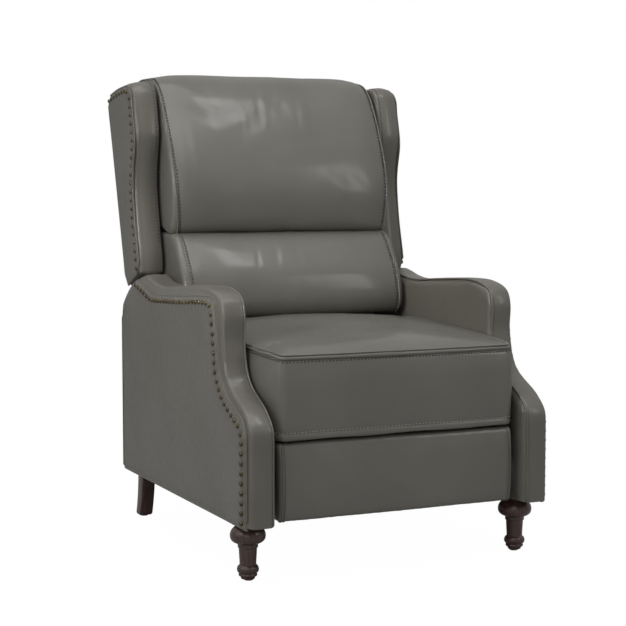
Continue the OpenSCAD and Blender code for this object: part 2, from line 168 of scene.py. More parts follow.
# %% Outlines with corners
class Outline:
    """A closed, anticlockwise outline made of segments that meet in corners.
    rounding holds the radius of the corner at the start of each segment."""

    def __init__(self, segments, rounding, step):
        self.segments = [spaced(s, step) for s in segments]
        self.rounding = rounding
        self.turns = []
        for k, seg in enumerate(self.segments):
            before = self.segments[k - 1]
            u, v = before[-1] - before[-2], seg[1] - seg[0]
            self.turns.append(math.atan2(u[0] * v[1] - u[1] * v[0], u[0] * v[0] + u[1] * v[1]))

    def ring(self, d):
        """The outline moved inwards by d, with as many points as before."""
        parts = []
        for k, seg in enumerate(self.segments):
            along = np.gradient(seg, axis=0)
            along /= np.linalg.norm(along, axis=1)[:, None]
            inward = np.stack([-along[:, 1], along[:, 0]], axis=1)
            moved = seg + inward * d
            run = lengths_along(moved)
            cut0 = d * math.tan(self.turns[k] / 2)
            cut1 = d * math.tan(self.turns[(k + 1) % len(self.segments)] / 2)
            first = moved[0] + along[0] * cut0
            last = moved[-1] - along[-1] * cut1
            kept = moved[(run > cut0 + 0.0008) & (run < run[-1] - cut1 - 0.0008)]
            line = np.concatenate([[first], kept, [last]])
            parts.append(spaced(line, count=len(seg))[:-1])
        starts = np.cumsum([0] + [len(p) for p in parts])[:-1]
        points = np.concatenate(parts)
        for k, i in enumerate(starts):
            radius = max(self.rounding[k] - d, 0.0015)
            points = round_corner(points, i, radius * math.tan(abs(self.turns[k]) / 2))
        return points


def round_corner(points, i, reach):
    """Draws the points within reach of point i onto a smooth corner."""
    n = len(points)
    rolled = np.roll(points, n // 2 - i, axis=0)
    middle = n // 2
    run = lengths_along(rolled)
    s = run - run[middle]
    before = at_lengths(rolled, [run[middle] - reach])[0]
    after = at_lengths(rolled, [run[middle] + reach])[0]
    near = np.abs(s) < reach
    t = ((s[near] + reach) / (2 * reach))[:, None]
    corner = rolled[middle].copy()
    rolled[near] = (1 - t) ** 2 * before + 2 * t * (1 - t) * corner + t ** 2 * after
    return np.roll(rolled, i - n // 2, axis=0)

# %% [markdown]
# ## Wrapping a skin
#
# A leather cover is a flat sheet pulled over a form and sewn to itself. `wrap` does the same:
# a grid primitive is the sheet, its points are laid on the form ring by ring, and the two
# edges that meet are merged. Rings keep the faces even, which keeps highlights smooth.

# %% Skins from rings
def weld(gap=1e-6, fill=False):
    """Merges the points that meet, closes holes if asked, and turns every face outwards."""
    bpy.ops.object.mode_set(mode="EDIT")
    bpy.ops.mesh.select_all(action="SELECT")
    bpy.ops.mesh.remove_doubles(threshold=gap)
    if fill:
        bpy.ops.mesh.select_all(action="SELECT")
        bpy.ops.mesh.fill_holes(sides=0)
    bpy.ops.mesh.select_all(action="SELECT")
    bpy.ops.mesh.normals_make_consistent(inside=False)
    bpy.ops.object.mode_set(mode="OBJECT")


def wrap(rings, closed=True, ends="fill"):
    """A skin over rings of [x, y, z] points. ends: "fill" closes both, "join" makes a tube's
    last ring meet its first, "open" leaves them."""
    rings = [np.asarray(r, float) for r in rings]
    if ends == "join":
        rings = rings + [rings[0]]
    if closed:
        rings = [np.concatenate([r, r[:1]]) for r in rings]
    clear()
    bpy.ops.mesh.primitive_grid_add(x_subdivisions=len(rings[0]) - 1,
                                    y_subdivisions=len(rings) - 1)
    skin = bpy.context.object
    place_points(skin, np.stack(rings))
    weld(fill=ends == "fill")
    return skin


def side_ring(outline_yz, x):
    """Side-view points placed at x, one number or one for each point."""
    p = np.asarray(outline_yz)
    return np.stack([np.broadcast_to(x, len(p)), p[:, 0] + FRONT, p[:, 1]], axis=1)


def cord_along(path, radius, sides=8, closed=False):
    """A round welt cord along a path of [x, y, z] points."""
    path = np.asarray(path, float)
    if closed:
        along = np.roll(path, -1, axis=0) - np.roll(path, 1, axis=0)
    else:
        along = np.gradient(path, axis=0)
    along /= np.linalg.norm(along, axis=1)[:, None]
    side = np.cross(along, [1.0, 0.0, 0.0])
    weak = np.linalg.norm(side, axis=1) < 0.35
    side[weak] = np.cross(along[weak], [0.0, 0.0, 1.0])
    for i in range(1, len(side)):
        side[i] = side[i - 1] - along[i] * side[i - 1].dot(along[i])
        side[i] /= np.linalg.norm(side[i])
    up = np.cross(along, side)
    a = np.linspace(0, 2 * math.pi, sides, endpoint=False)
    rings = [p + radius * (np.cos(a)[:, None] * s + np.sin(a)[:, None] * u)
             for p, s, u in zip(path, side / np.linalg.norm(side, axis=1)[:, None], up)]
    return wrap(rings, ends="join" if closed else "fill")
def cord_cover(path, radius, material, body, name, sides=8):
    return finish_piece(cord_along(path, radius, sides), name, material, body)

def join(pieces):
    only(pieces[0])
    for p in pieces[1:]:
        p.select_set(True)
    bpy.ops.object.join()
    return bpy.context.object


def copies(model, places):
    """Copies of a small model, each with its own mesh, joined in one piece."""
    made = []
    for matrix in places:
        copy = bpy.data.objects.new(model.name, model.data.copy())
        bpy.context.scene.collection.objects.link(copy)
        copy.data.transform(matrix)
        made.append(copy)
    bpy.data.objects.remove(model)
    return join(made)


def basis(place, along, out):
    """A matrix that turns a model's X along a line and its Z outwards, at a place."""
    z = Vector(out).normalized()
    x = Vector(along)
    x = (x - z * x.dot(z)).normalized()
    y = z.cross(x)
    m = Matrix((x, y, z)).transposed().to_4x4()
    m.translation = Vector(place)
    return m

# %% [markdown]
# ## Camera, lamps and floor
#
# The chair is seen from its front left corner, a little above the seat, with a long lens.
# Broad soft lamps give leather its slow highlights: a lamp's size and place decide where a
# cushion shines, so they are placed like studio softboxes.

# %% The camera
clear()
bpy.ops.object.camera_add(location=(-1.5391, -3.3148, 0.8127),
                          rotation=(math.radians(85.18), 0, math.radians(-24.87)))
camera = bpy.context.object
camera.name = "camera"
camera.data.lens = 92.1
camera.data.sensor_width = 36.0
camera.data.clip_end = 50
bpy.context.scene.camera = camera
print("camera", tuple(round(v, 3) for v in camera.location))

# %% Soft lamps
def softbox(name, place, aim, size, power):
    clear()
    bpy.ops.object.light_add(type="AREA", location=place)
    lamp = bpy.context.object
    lamp.name = name
    lamp.data.shape = "RECTANGLE"
    lamp.data.size, lamp.data.size_y = size
    lamp.data.energy = power
    turn = (Vector(aim) - Vector(place)).to_track_quat("-Z", "Y")
    lamp.rotation_euler = turn.to_euler()
    return lamp


MIDDLE = (0, 0, 0.6)
softbox("lamp_top", (-0.8, -0.6, 3.2), (0, 0.1, 0.4), (2.6, 2.4), 37)
softbox("lamp_left", (-3.0, -0.3, 1.7), MIDDLE, (2.2, 2.2), 10.5)
softbox("lamp_fill", (-1.9, -3.2, 1.5), MIDDLE, (2.0, 2.0), 8.5)
softbox("lamp_front_right", (0.83, -0.99, 3.32), (-0.13, 0.23, 0.97), (0.30, 0.55), 4.5)
softbox("lamp_low_right", (1.55, -2.18, 1.70), (0.15, 0.17, 0.81), (0.36, 1.15), 5.4)
grid = softbox("lamp_grid_left", (-2.5, -1.0, 1.5), (0.28, 0.04, 0.66), (0.5, 0.5), 0.95)
grid.data.spread = math.radians(30)

# %% The world
def to_linear(hex_colour):
    """An sRGB hex colour as the linear numbers that a shader takes."""
    parts = [int(hex_colour[i:i + 2], 16) / 255 for i in (1, 3, 5)]
    return [c / 12.92 if c <= 0.04045 else ((c + 0.055) / 1.055) ** 2.4 for c in parts] + [1]


def add_node(tree, kind, settings=None, links=None):
    """Adds a node. A setting is an attribute or an input's value, a link feeds an input."""
    node = tree.nodes.new(kind)
    for key, value in (settings or {}).items():
        if isinstance(key, str) and hasattr(node, key):
            setattr(node, key, value)
        else:
            node.inputs[key].default_value = value
    for key, source in (links or {}).items():
        tree.links.new(source, node.inputs[key])
    return node


world = bpy.data.worlds.new("studio")
bpy.context.scene.world = world
world.use_nodes = True
tree = world.node_tree
tree.nodes.clear()
rays = add_node(tree, "ShaderNodeLightPath")
seen = add_node(tree, "ShaderNodeMath", {"operation": "MAXIMUM"},
                {0: rays.outputs["Is Camera Ray"], 1: rays.outputs["Is Transmission Ray"]})
where = add_node(tree, "ShaderNodeTexCoord").outputs["Generated"]
height = add_node(tree, "ShaderNodeSeparateXYZ", links={0: where}).outputs["Z"]
ceiling = add_node(tree, "ShaderNodeMapRange", {"To Min": 0.24, "To Max": 0.62}, {"Value": height})
room = add_node(tree, "ShaderNodeBackground", {"Color": (1, 1, 1, 1)},
                {"Strength": ceiling.outputs[0]})
white = add_node(tree, "ShaderNodeBackground", {"Color": (1, 1, 1, 1), "Strength": 1.0})
mix = add_node(tree, "ShaderNodeMixShader", links={0: seen.outputs[0], 1: room.outputs[0],
                                                  2: white.outputs[0]})
add_node(tree, "ShaderNodeOutputWorld", links={"Surface": mix.outputs[0]})
# %% White floor
clear()
bpy.ops.mesh.primitive_plane_add(size=60, location=(0, 0, 0))
floor = bpy.context.object
floor.name = "floor"
paper = bpy.data.materials.new("white_paper_floor")
paper.use_nodes = True
tree = paper.node_tree
tree.nodes.clear()
rays = add_node(tree, "ShaderNodeLightPath")
matt = add_node(tree, "ShaderNodeBsdfDiffuse", {"Color": (0.45, 0.45, 0.45, 1)})
glow = add_node(tree, "ShaderNodeEmission", {"Color": (1, 1, 1, 1), "Strength": 1.03})
seen = add_node(tree, "ShaderNodeMath", {"operation": "MULTIPLY", 1: 0.96},
                {0: rays.outputs["Is Camera Ray"]})
mix = add_node(tree, "ShaderNodeMixShader", links={0: seen.outputs[0], 1: matt.outputs[0],
                                                  2: glow.outputs[0]})
add_node(tree, "ShaderNodeOutputMaterial", links={"Surface": mix.outputs[0]})
floor.data.materials.append(paper)
bpy.context.scene.view_settings.view_transform = "Standard"

# %% [markdown]
# ## Leather
#
# The covers are corrected-grain cowhide with a satin finish: a fine pebble pressed into the
# surface, pores between, and a tone that drifts a little across each hide. The pebble is
# about 1 mm and the drift about 15 cm, so their scales are one over those sizes. The shine is
# satin because the grain breaks up the reflection, so roughness changes with the grain.

# %% Leather material
class Shader:
    """A material in the making. noise, span, blend and bump add a node and give its output."""

    def __init__(self, name):
        self.material = bpy.data.materials.new(name)
        self.material.use_nodes = True
        self.tree = self.material.node_tree
        self.tree.nodes.clear()
        self.where = self.node("TexCoord").outputs["Object"]

    def node(self, kind, settings=None, links=None):
        return add_node(self.tree, "ShaderNode" + kind, settings, links)

    def noise(self, size, detail, where=None, **settings):
        """Clouds of a given size, in metres."""
        where = self.where if where is None else where
        return self.node("TexNoise", {"Scale": 1 / size, "Detail": detail, **settings},
                         {"Vector": where}).outputs["Fac"]

    def span(self, value, low, high, to_low=0.0, to_high=1.0):
        return self.node("MapRange", {"From Min": low, "From Max": high, "To Min": to_low,
                                      "To Max": to_high}, {"Value": value}).outputs[0]

    def blend(self, dark, light, by):
        return self.node("Mix", {"data_type": "RGBA", 6: to_linear(dark), 7: to_linear(light)},
                         {0: by}).outputs[2]

    def bump(self, height, strength, distance, under=None):
        links = {"Height": height} if under is None else {"Height": height, "Normal": under}
        return self.node("Bump", {"Strength": strength, "Distance": distance}, links).outputs[0]

    def finish(self, settings, links):
        skin = self.node("BsdfPrincipled", settings, links)
        self.node("OutputMaterial", links={"Surface": skin.outputs[0]})
        return self.material


PEBBLE, DENT = 0.0011, 0.00010   # size and depth of the grain that is pressed into the hide


def leather(name, tone, deep, rough, coat):
    s = Shader(name)
    grain = s.node("TexVoronoi", {"feature": "SMOOTH_F1", "Scale": 1 / PEBBLE,
                                  "Smoothness": 0.6, "Randomness": 1.0},
                   {"Vector": s.where}).outputs["Distance"]
    pores = s.noise(0.0006, 2.0, Roughness=0.5)
    creases = s.noise(0.012, 4.0, Roughness=0.55, Distortion=0.6)
    drift = s.noise(0.15, 2.0, Roughness=0.5)
    relief = s.bump(grain, 1.0, DENT)
    relief = s.bump(pores, 0.5, DENT / 2, relief)
    relief = s.bump(creases, 0.6, 0.0004, relief)
    return s.finish({"IOR": 1.44, "Coat Weight": coat, "Coat Roughness": 0.14},
                    {"Base Color": s.blend(deep, tone, s.span(drift, 0.3, 0.7)),
                     "Roughness": s.span(creases, 0.25, 0.75, rough - 0.05, rough + 0.07),
                     "Normal": relief, "Coat Normal": s.bump(grain, 1.0, DENT * 0.25)})


cushion_leather = leather("satin_cowhide_cushions", "#6A6861", "#63615A", rough=0.42, coat=0.40)
# The panels' copy of the same hide is painted darker and warmer than the cushions': painted shade
# for the arms, wings and outside back.
shaded_panel_leather = leather("satin_cowhide_panels_painted_shade", "#66635B", "#5F5C54", rough=0.40, coat=0.35)


def cover(piece, node, body, material=shaded_panel_leather, name=None, angle=None):
    """Finishes a leather piece that stands for a CAD node."""
    return finish_piece(piece, name or node + "_cover", material, body, [node], angle)


print("leathers made")

# %% [markdown]
# ## Thread, brass, woods and metals
#
# Each is named for the real thing, and where it also paints shade its name says so. Thread is
# twisted polyester, and the dark thread is near-black to paint the shade in its sunk needle holes;
# nails are antiqued brass whose hollows keep a dark patina, legs are hardwood under an espresso
# stain, the inner frame is plain beech and plywood, and the linkage is zinc-plated or black painted
# steel.

# %% Thread and brass
def thread(name, light, dark):
    s = Shader(name)
    twist = s.noise(0.0005, 1.0)
    return s.finish({"Sheen Weight": 0.2, "Roughness": 0.6},
                    {"Base Color": s.blend(dark, light, twist),
                     "Normal": s.bump(twist, 0.6, 0.0002)})


def metal(name, bright, dull, spot, rough, metallic=1.0):
    """A metal whose tone and roughness change over spots of a given size."""
    s = Shader(name)
    cloud = s.noise(spot, 4.0, Roughness=0.6)
    wear = s.span(cloud, 0.35, 0.65)
    return s.finish({"Metallic": metallic},
                    {"Base Color": s.blend(dull, bright, wear),
                     "Roughness": s.span(wear, 0, 1, rough + 0.12, rough - 0.06),
                     "Normal": s.bump(cloud, 0.5, 0.00005)})


# Black cloth for the linings: it paints the shade of the gaps where wood would show.
shade_black_cambric = thread("black_cambric_painted_shade", "#1B1B1C", "#121213")
light_thread = thread("bonded_polyester_thread_light", "#9A978D", "#827F77")
# Near-black stitches: real thread, painted dark for the shade in the sunk needle holes.
hole_shade_thread = thread("bonded_polyester_thread_hole_shade", "#262522", "#181715")
antique_brass = metal("antiqued_brass", "#776A50", "#2E2820", 0.002, 0.20)
nickel = metal("nickel_plated_steel", "#B9B6AE", "#8F8C86", 0.01, 0.28)
zinc = metal("zinc_plated_steel", "#A8A9A8", "#7E8082", 0.012, 0.38)
black_paint = metal("black_painted_steel", "#26272A", "#17181A", 0.008, 0.42, 0.0)
spring_steel = metal("oil_tempered_spring_steel", "#4B4C50", "#2D2E31", 0.006, 0.36)

# %% Woods
def wood(name, light, dark, rings, along, rough, dent, coat=0.0):
    """Wood with grain lines `rings` metres apart that run along the given axis (0, 1 or 2)."""
    s = Shader(name)
    stretch = [1.0, 1.0, 1.0]
    stretch[along] = 0.08
    laid = s.node("Mapping", {"Scale": stretch}, {"Vector": s.where}).outputs[0]
    figure = s.noise(rings, 5.0, laid, Roughness=0.65, Distortion=0.4)
    fibres = s.noise(0.0007, 2.0, laid)
    return s.finish({"Coat Weight": coat, "Coat Roughness": 0.25},
                    {"Base Color": s.blend(dark, light, s.span(figure, 0.35, 0.65)),
                     "Roughness": s.span(figure, 0, 1, rough - 0.05, rough + 0.08),
                     "Normal": s.bump(fibres, 0.6, dent)})


espresso_wood = wood("espresso_stained_hardwood", "#523830", "#33221C", 0.006, 2, 0.30,
                     0.00003, coat=0.5)
beech_x, beech_y, beech_z = (
    wood(f"beech_grain_{way}", "#CDAA7C", "#B08C5E", 0.008, axis, 0.6, 0.0001)
    for axis, way in enumerate(("across", "back", "up")))
birch_ply = wood("birch_plywood", "#D8BE92", "#C2A274", 0.012, 0, 0.62, 0.0001)
print("materials", len(bpy.data.materials))

# %% [markdown]
# ## Patterns of the arms
#
# Seen from the side an arm is a scroll: a high back end under the wing, a level top, a rounded
# knuckle and a long sweep down to the lower front corner. The back end is an arc about the
# back's hinge, so that the wing can pass over it.

# %% Arm patterns
HINGE = (0.600, 0.330)
BODY_BOTTOM, ARM_LENGTH = 0.121, 0.792
arm_scroll = mm(618, 591, 566, 577, 500, 572, 380, 580, 264, 586, 205, 582, 162, 567, 146, 533,
                148, 479, 134, 422, 105, 388, 46, 357, 17, 334, 4, 318, 0, 298, 0, 270)
arm_top_arc = arc(HINGE, 0.262, 42.9, 84, 30)
arm_upper = np.concatenate([arm_top_arc, dense_line(arm_scroll)[6:]])
arm_rear_top = arm_top_arc[0]
arm_outline = Outline(
    [[(0, BODY_BOTTOM), (ARM_LENGTH, BODY_BOTTOM)], [(ARM_LENGTH, BODY_BOTTOM), arm_rear_top],
     arm_upper, [(0, 0.270), (0, BODY_BOTTOM)]],
    rounding=[0.002, 0.012, 0.028, 0.0], step=0.004)
arm_nail_line = dense_line(mm(668, 565, 624, 554, 571, 540, 528, 538, 452, 542, 370, 546, 293, 552,
                              224, 555, 203, 548, 193, 514, 183, 451, 176, 414, 152, 380, 125, 358,
                              88, 339, 53, 323, 41, 308, 37, 286, 37, 130))
arm_nail_line[:, 0] -= 0.0100 * np.clip((0.30 - arm_nail_line[:, 0]) / 0.09, 0, 1)
print("arm outline", len(arm_outline.ring(0)), "points")

# %% [markdown]
# ## The arm's padded band
#
# A strip of leather runs over the padding all the way round an arm. Its outer edge is a big
# soft round, its front face is nearly flat, and its inner edge drops into the seam where the
# inside panel starts. The rings step across the arm, so the band is a closed tube.

# %% Arm bands
def elbow(x_from, x_to, inset_from, inset_to, count=6):
    """[x, inset] points of a quarter round between a wall and a face. It is tangent to the
    wall where the inset is larger."""
    points = []
    for a in np.linspace(0, math.pi / 2, count):
        if inset_from > inset_to:
            points.append((x_from + (x_to - x_from) * (1 - math.cos(a)),
                           inset_from + (inset_to - inset_from) * math.sin(a)))
        else:
            points.append((x_from + (x_to - x_from) * math.sin(a),
                           inset_from + (inset_to - inset_from) * (1 - math.cos(a))))
    return points


def band_profile(x_in, x_out, round_in, round_out, crown, reach, swell):
    """[x, inset] from the inner seam over the front face and round to the side."""
    face_x = np.linspace(x_in + round_in, x_out - round_out, 9)
    face = [(x, -crown * math.sin(math.pi * k / 8)) for k, x in enumerate(face_x)][1:-1]
    flare = [(x_out + swell * math.sin(math.pi / 2 * t), round_out + (reach - round_out) * t)
             for t in (0.2, 0.4, 0.6, 0.8, 1.0)]
    return (elbow(x_in, face_x[0], round_in, 0) + face
            + elbow(face_x[-1], x_out, 0, round_out, 8) + flare)


def flatten_ends(ring):
    """Makes the rounding along the arm's underside and rear edge tighter than at its front."""
    squeeze, near, far = 0.12, 0.02, 0.06
    ring = ring.copy()
    for axis, wall, sign in ((2, BODY_BOTTOM, 1), (1, FRONT + ARM_LENGTH, -1)):
        h = (ring[:, axis] - wall) * sign
        t = np.clip((h - near) / (far - near), 0, 1)
        keep = squeeze + (1 - squeeze) * t * t * (3 - 2 * t)
        if axis == 1:            # the arc under the wing keeps its radius
            keep = 1 - (1 - keep) * np.clip((arm_rear_top[1] - ring[:, 2]) / 0.03, 0, 1)
        ring[:, axis] = wall + sign * np.where(h < far, h * keep, h)
    return ring


def gather(piece, at, reach, height, pitch):
    """Folds that run across a strip where it is bent the hollow way, about a side-view spot."""
    co = points_of(piece)
    y, z = co[:, 1] - FRONT, co[:, 2]
    weight = np.exp(-((y - at[0]) ** 2 + (z - at[1]) ** 2) / reach ** 2)
    folds = np.array([noise.noise(Vector((p[0] / 0.05, p[1] / pitch * 0.7, p[2] / pitch)))
                      for p in co])
    push_out(piece, co, folds * weight * height)


ARM_BAND = band_profile(x_in=0.2955, x_out=0.3435, round_in=0.0045, round_out=0.0085,
                        crown=0.0012, reach=0.028, swell=0.0050)
ARM_BAND_BACK = [(0.3405, 0.028), (0.3325, 0.024), (0.300, 0.010)]
for side, word in SIDES:
    rings = [flatten_ends(side_ring(arm_outline.ring(d), side * x))
             for x, d in ARM_BAND + ARM_BAND_BACK]
    band = wrap(rings, ends="join")
    gather(band, (0.127, 0.402), 0.045, 0.0011, 0.011)
    gather(band, (0.040, 0.345), 0.030, 0.0006, 0.010)
    cover(band, f"arm_band_{word}", "base")

# %% [markdown]
# ## Side panels held by nails
#
# The big outer panel is a separate, stiffer sheet. It lies a little proud of the band, turns
# over at its edge and is pinned by a row of nails. Each nail dimples it, and the leather
# swells between two nails, so the edge makes a soft scallop that dies out 3 cm inwards.

# %% Nailed panels
def nearest_on(points, line):
    """For each point, the length along the line of its nearest place, and how far it is."""
    run = lengths_along(line)
    best_d = np.full(len(points), 1e9)
    best_s = np.zeros(len(points))
    for i in range(len(line) - 1):
        a, ab = line[i], line[i + 1] - line[i]
        t = np.clip(((points - a) @ ab) / (ab @ ab), 0, 1)
        d = np.linalg.norm(points - a - t[:, None] * ab, axis=1)
        near = d < best_d
        best_d[near] = d[near]
        best_s[near] = run[i] + t[near] * (run[i + 1] - run[i])
    return best_s, best_d


def offset_line(line, d):
    """An open line moved to its left by d, evenly spaced."""
    along = np.gradient(line, axis=0)
    along /= np.linalg.norm(along, axis=1)[:, None]
    return line + np.stack([-along[:, 1], along[:, 0]], axis=1) * d


NAIL_PITCH = 0.020
EDGE_OUT = 0.0122        # from the nails' line to the panel's edge


def nail_count(line):
    return round(lengths_along(line)[-1] / NAIL_PITCH)


def scallop(points, line):
    """How far the leather is drawn in by the nails along the line."""
    s, away = nearest_on(points, line)
    wave = np.cos(2 * math.pi * s * nail_count(line) / lengths_along(line)[-1])
    return (0.0011 * np.exp(-(away / 0.009) ** 2) * (0.5 + 0.5 * wave)
            + 0.0002 * np.exp(-(away / 0.018) ** 2) * wave)


def shrink_to(ring, target, steps):
    """Rings between a ring and the straight line between two points."""
    a, b = np.asarray(target[0]), np.asarray(target[1])
    t = np.clip((ring - a) @ (b - a) / ((b - a) @ (b - a)), 0, 1)[:, None]
    aim = a + t * (b - a)
    return [ring + (aim - ring) * u for u in steps]


INWARDS = (0.04, 0.08, 0.12, 0.17, 0.23, 0.3, 0.4, 0.5, 0.6, 0.7, 0.8, 0.9, 0.97)


def nailed_panel(outline, target, nail_line, x_out, side, edge_back, edge_round, crown, swell,
                 pull=1.0):
    """edge_back and edge_round give, for points of the rim, where its edge starts in X and
    the radius of its turn."""
    rim = outline.ring(0)
    back, turn = edge_back(rim), edge_round(rim)
    flat = [outline.ring(d) for d in (0.0006, 0.0014, 0.0024, 0.0035, 0.005, 0.0067, 0.0085)]
    flat += shrink_to(flat[-1], target, (0.015, 0.03, 0.045, 0.06, 0.08) + INWARDS[2:])
    closed_rim = np.concatenate([rim, rim[:1]])
    rings = [side_ring(outline.ring(0.004), side * back), side_ring(rim, side * back)]
    for points in flat:
        depth = nearest_on(points, closed_rim)[1]
        roll = np.minimum(depth / turn, 1)
        x = x_out - turn + turn * np.sqrt(1 - (1 - roll) ** 2)
        away = nearest_on(points, nail_line)[1]
        rise = np.clip(depth / 0.012, 0, 1)
        x = x + crown * (1 - np.exp(-depth / 0.07))
        x = x + swell * np.exp(-(away / 0.07) ** 2) * (0.25 + 0.75 * rise * rise * (3 - 2 * rise))
        x = x - pull * scallop(points, nail_line)
        rings.append(side_ring(points, side * x))
    return wrap(rings)

# %% Outer panels of the arms
PANEL_BOTTOM = 0.1150
ARM_MIDDLE = ((0.25, 0.29), (0.62, 0.33))
arm_panel_edge = offset_line(spaced(arm_nail_line, 0.004), -EDGE_OUT)
panel_foot = (arm_panel_edge[-1][0], PANEL_BOTTOM)
arm_panel_edge = np.concatenate([arm_panel_edge[:-1], [panel_foot]])
panel_arc = arc(HINGE, 0.258, 41.8, 75.0, 30)
arm_panel_outline = Outline(
    [[panel_foot, (ARM_LENGTH, PANEL_BOTTOM)], [(ARM_LENGTH, PANEL_BOTTOM), panel_arc[0]],
     np.concatenate([panel_arc, arm_panel_edge[2:]])],
    rounding=[0.004, 0.012, 0.028], step=0.0028)


def rear_value(front_value, rear_edge_value):
    """One value round the panel and another down its rear edge."""
    def value(rim):
        t = np.clip(1 - (ARM_LENGTH - rim[:, 0]) / 0.012, 0, 1)
        return front_value + (rear_edge_value - front_value) * t * t * (3 - 2 * t)
    return value


edge_welt = offset_line(arm_panel_edge, -0.0014)
edge_welt = edge_welt[edge_welt[:, 1] > BODY_BOTTOM + 0.0035]
ARM_SIDE, ARM_WELT, ARM_SEAM, ARM_INSIDE = 0.3470, 0.3464, 0.2948, 0.2872
for side, word in SIDES:
    cord_cover(side_ring(edge_welt, side * ARM_WELT), 0.0019, shaded_panel_leather, "base",
               f"arm_edge_welt_{word}")
    panel = nailed_panel(arm_panel_outline, ARM_MIDDLE, arm_nail_line, ARM_SIDE, side,
                         rear_value(0.3430, 0.3260), rear_value(0.0028, 0.0090), 0.0012, 0.0068)
    cover(panel, f"arm_outer_panel_{word}", "base")

# %% [markdown]
# ## Inside panels
#
# The side of the arm that faces the seat is lightly padded, so its edge rounds softly into
# the seam with the band. It stays clear of the steel plates beside it.

# %% Arm inside panels
INNER_PANEL = mm(301, 10, 300.5, 5.2, 298.5, 4.2, 295.5, 4, 293.5, 5, 291.5, 6.8, 289.8, 9.5,
                 288.6, 12.5, 287.8, 16, 287.4, 20)
for side, word in SIDES:
    rings = [flatten_ends(side_ring(arm_outline.ring(d), side * x)) for x, d in INNER_PANEL]
    last = arm_outline.ring(INNER_PANEL[-1][1])
    rings += [side_ring(p, side * ARM_INSIDE) for p in shrink_to(last, ARM_MIDDLE, INWARDS)]
    cover(wrap(rings), f"arm_inner_panel_{word}", "base")

    seam = arm_outline.ring(0.0012)
    seam = seam[(seam[:, 1] > BODY_BOTTOM + 0.003) & (seam[:, 0] < ARM_LENGTH - 0.02)]
    seam = seam[::-1] if seam[0][0] < seam[-1][0] else seam
    cord_cover(side_ring(seam, side * ARM_SEAM), 0.0023, shaded_panel_leather, "base",
               f"arm_seam_welt_{word}")

# %% [markdown]
# ## Decorative nails
#
# One domed head is turned from a few rings and copied along each row at its real spacing of
# 20 mm. A head has a few dozen faces, because there are over a hundred and fifty of them.

# %% Nails
NAIL_R, NAIL_H = 0.0050, 0.0036      # radius and height of a head


def nail_head():
    a = np.linspace(0, 2 * math.pi, 12, endpoint=False)
    return wrap([np.stack([NAIL_R * r * np.cos(a), NAIL_R * r * np.sin(a),
                           np.full(12, NAIL_H * z)], axis=1)
                 for r, z in ((0.80, -0.45), (1.0, -0.30), (1.0, 0.06), (0.93, 0.40),
                              (0.72, 0.72), (0.40, 0.93), (0.10, 1.0))])


def nail_places(line, x):
    run = lengths_along(line)[-1]
    count = nail_count(line)
    spots = at_lengths(line, np.linspace(0, run, count + 1))
    return [basis((side * x, y + FRONT, z), (0, 1, 0), (side, 0, 0)) for side, _ in SIDES
            for y, z in spots]


def nail_rows(line, x, name, body, node):
    nails = copies(nail_head(), nail_places(line, x))
    finish_piece(nails, name, antique_brass, body, [node])


nail_rows(arm_nail_line, 0.3536, "arm_nail_heads", "base", "arm_nails")

# %% [markdown]
# ## Wings
#
# A wing is made like an arm: a padded form, an outside panel proud of it and a row of nails.
# Its front edge swells and narrows on the way up to a soft, nearly square top corner. Its
# underside is an arc about the hinge, so it clears the arm when the back leans.

# %% Wings
LEAN = math.radians(16.2)
BACK_FOOT = (0.777, 0.620)      # where the back's rear plane starts


def on_back(z, t):
    """A side-view point at height z on the back's rear plane, moved forwards by t."""
    return [BACK_FOOT[0] + (z - BACK_FOOT[1]) * math.tan(LEAN) - t * math.cos(LEAN),
            z + t * math.sin(LEAN)]


wing_line = mm(893, 975, 888, 992, 880, 1008, 860, 1019, 808, 1028, 760, 1034, 728, 1034,
               706, 1020, 695, 995, 684, 950, 678, 915, 683, 880, 692, 838, 693, 788, 682, 725,
               670, 670, 662, 636, 659, 606)
wing_arc = arc(HINGE, 0.2670, 77.2, 58, 16)
wing_outline = Outline(
    [np.concatenate([wing_arc, [[0.767, 0.580], BACK_FOOT]]), [BACK_FOOT, on_back(0.975, 0)],
     np.concatenate([[on_back(0.975, 0)], dense_line(wing_line)[6:-6], [wing_arc[0]]])],
    rounding=[0.012, 0.02, 0.01], step=0.0036)
WING_TARGET = ((0.735, 0.66), (0.79, 0.95))     # the line that the flat sides close on
WING_IN, WING_OUT = 0.2862, 0.3450              # X of the inner and the outer side
wing_profile = (elbow(WING_IN, WING_IN + 0.0075, 0.0085, 0.0010, 6)
                + [(x, 0.0010 - 0.0030 * math.sin(math.pi * (k + 1) / 10))
                   for k, x in enumerate(np.linspace(WING_IN + 0.011, WING_OUT - 0.016, 9))]
                + elbow(WING_OUT - 0.0120, WING_OUT, 0.0014, 0.0120, 8)
                + [(WING_OUT, d) for d in (0.014, 0.016, 0.018)])
wing_nail_line = dense_line(mm(868, 997, 808, 1009, 760, 1014, 736, 1014, 718, 1000, 712, 968,
                               699, 915, 698, 885, 709, 835, 711, 790, 700, 710, 680, 630,
                               675, 603))
wing_nail_line = dense_line(wing_nail_line[::12], steps=8)
wing_edge = offset_line(spaced(wing_nail_line, 0.004), -0.0112)
wing_panel_arc = arc(HINGE, 0.2685, 58, 73.5, 14)
panel_foot = [0.776, 0.620]
wing_panel_outline = Outline(
    [np.concatenate([wing_panel_arc[::-1], [[0.767, 0.584], panel_foot]]),
     [panel_foot, on_back(0.985, 0.001)],
     np.concatenate([[on_back(0.985, 0.001)], wing_edge[2:-2], [wing_panel_arc[-1]]])],
    rounding=[0.010, 0.02, 0.012], step=0.0028)
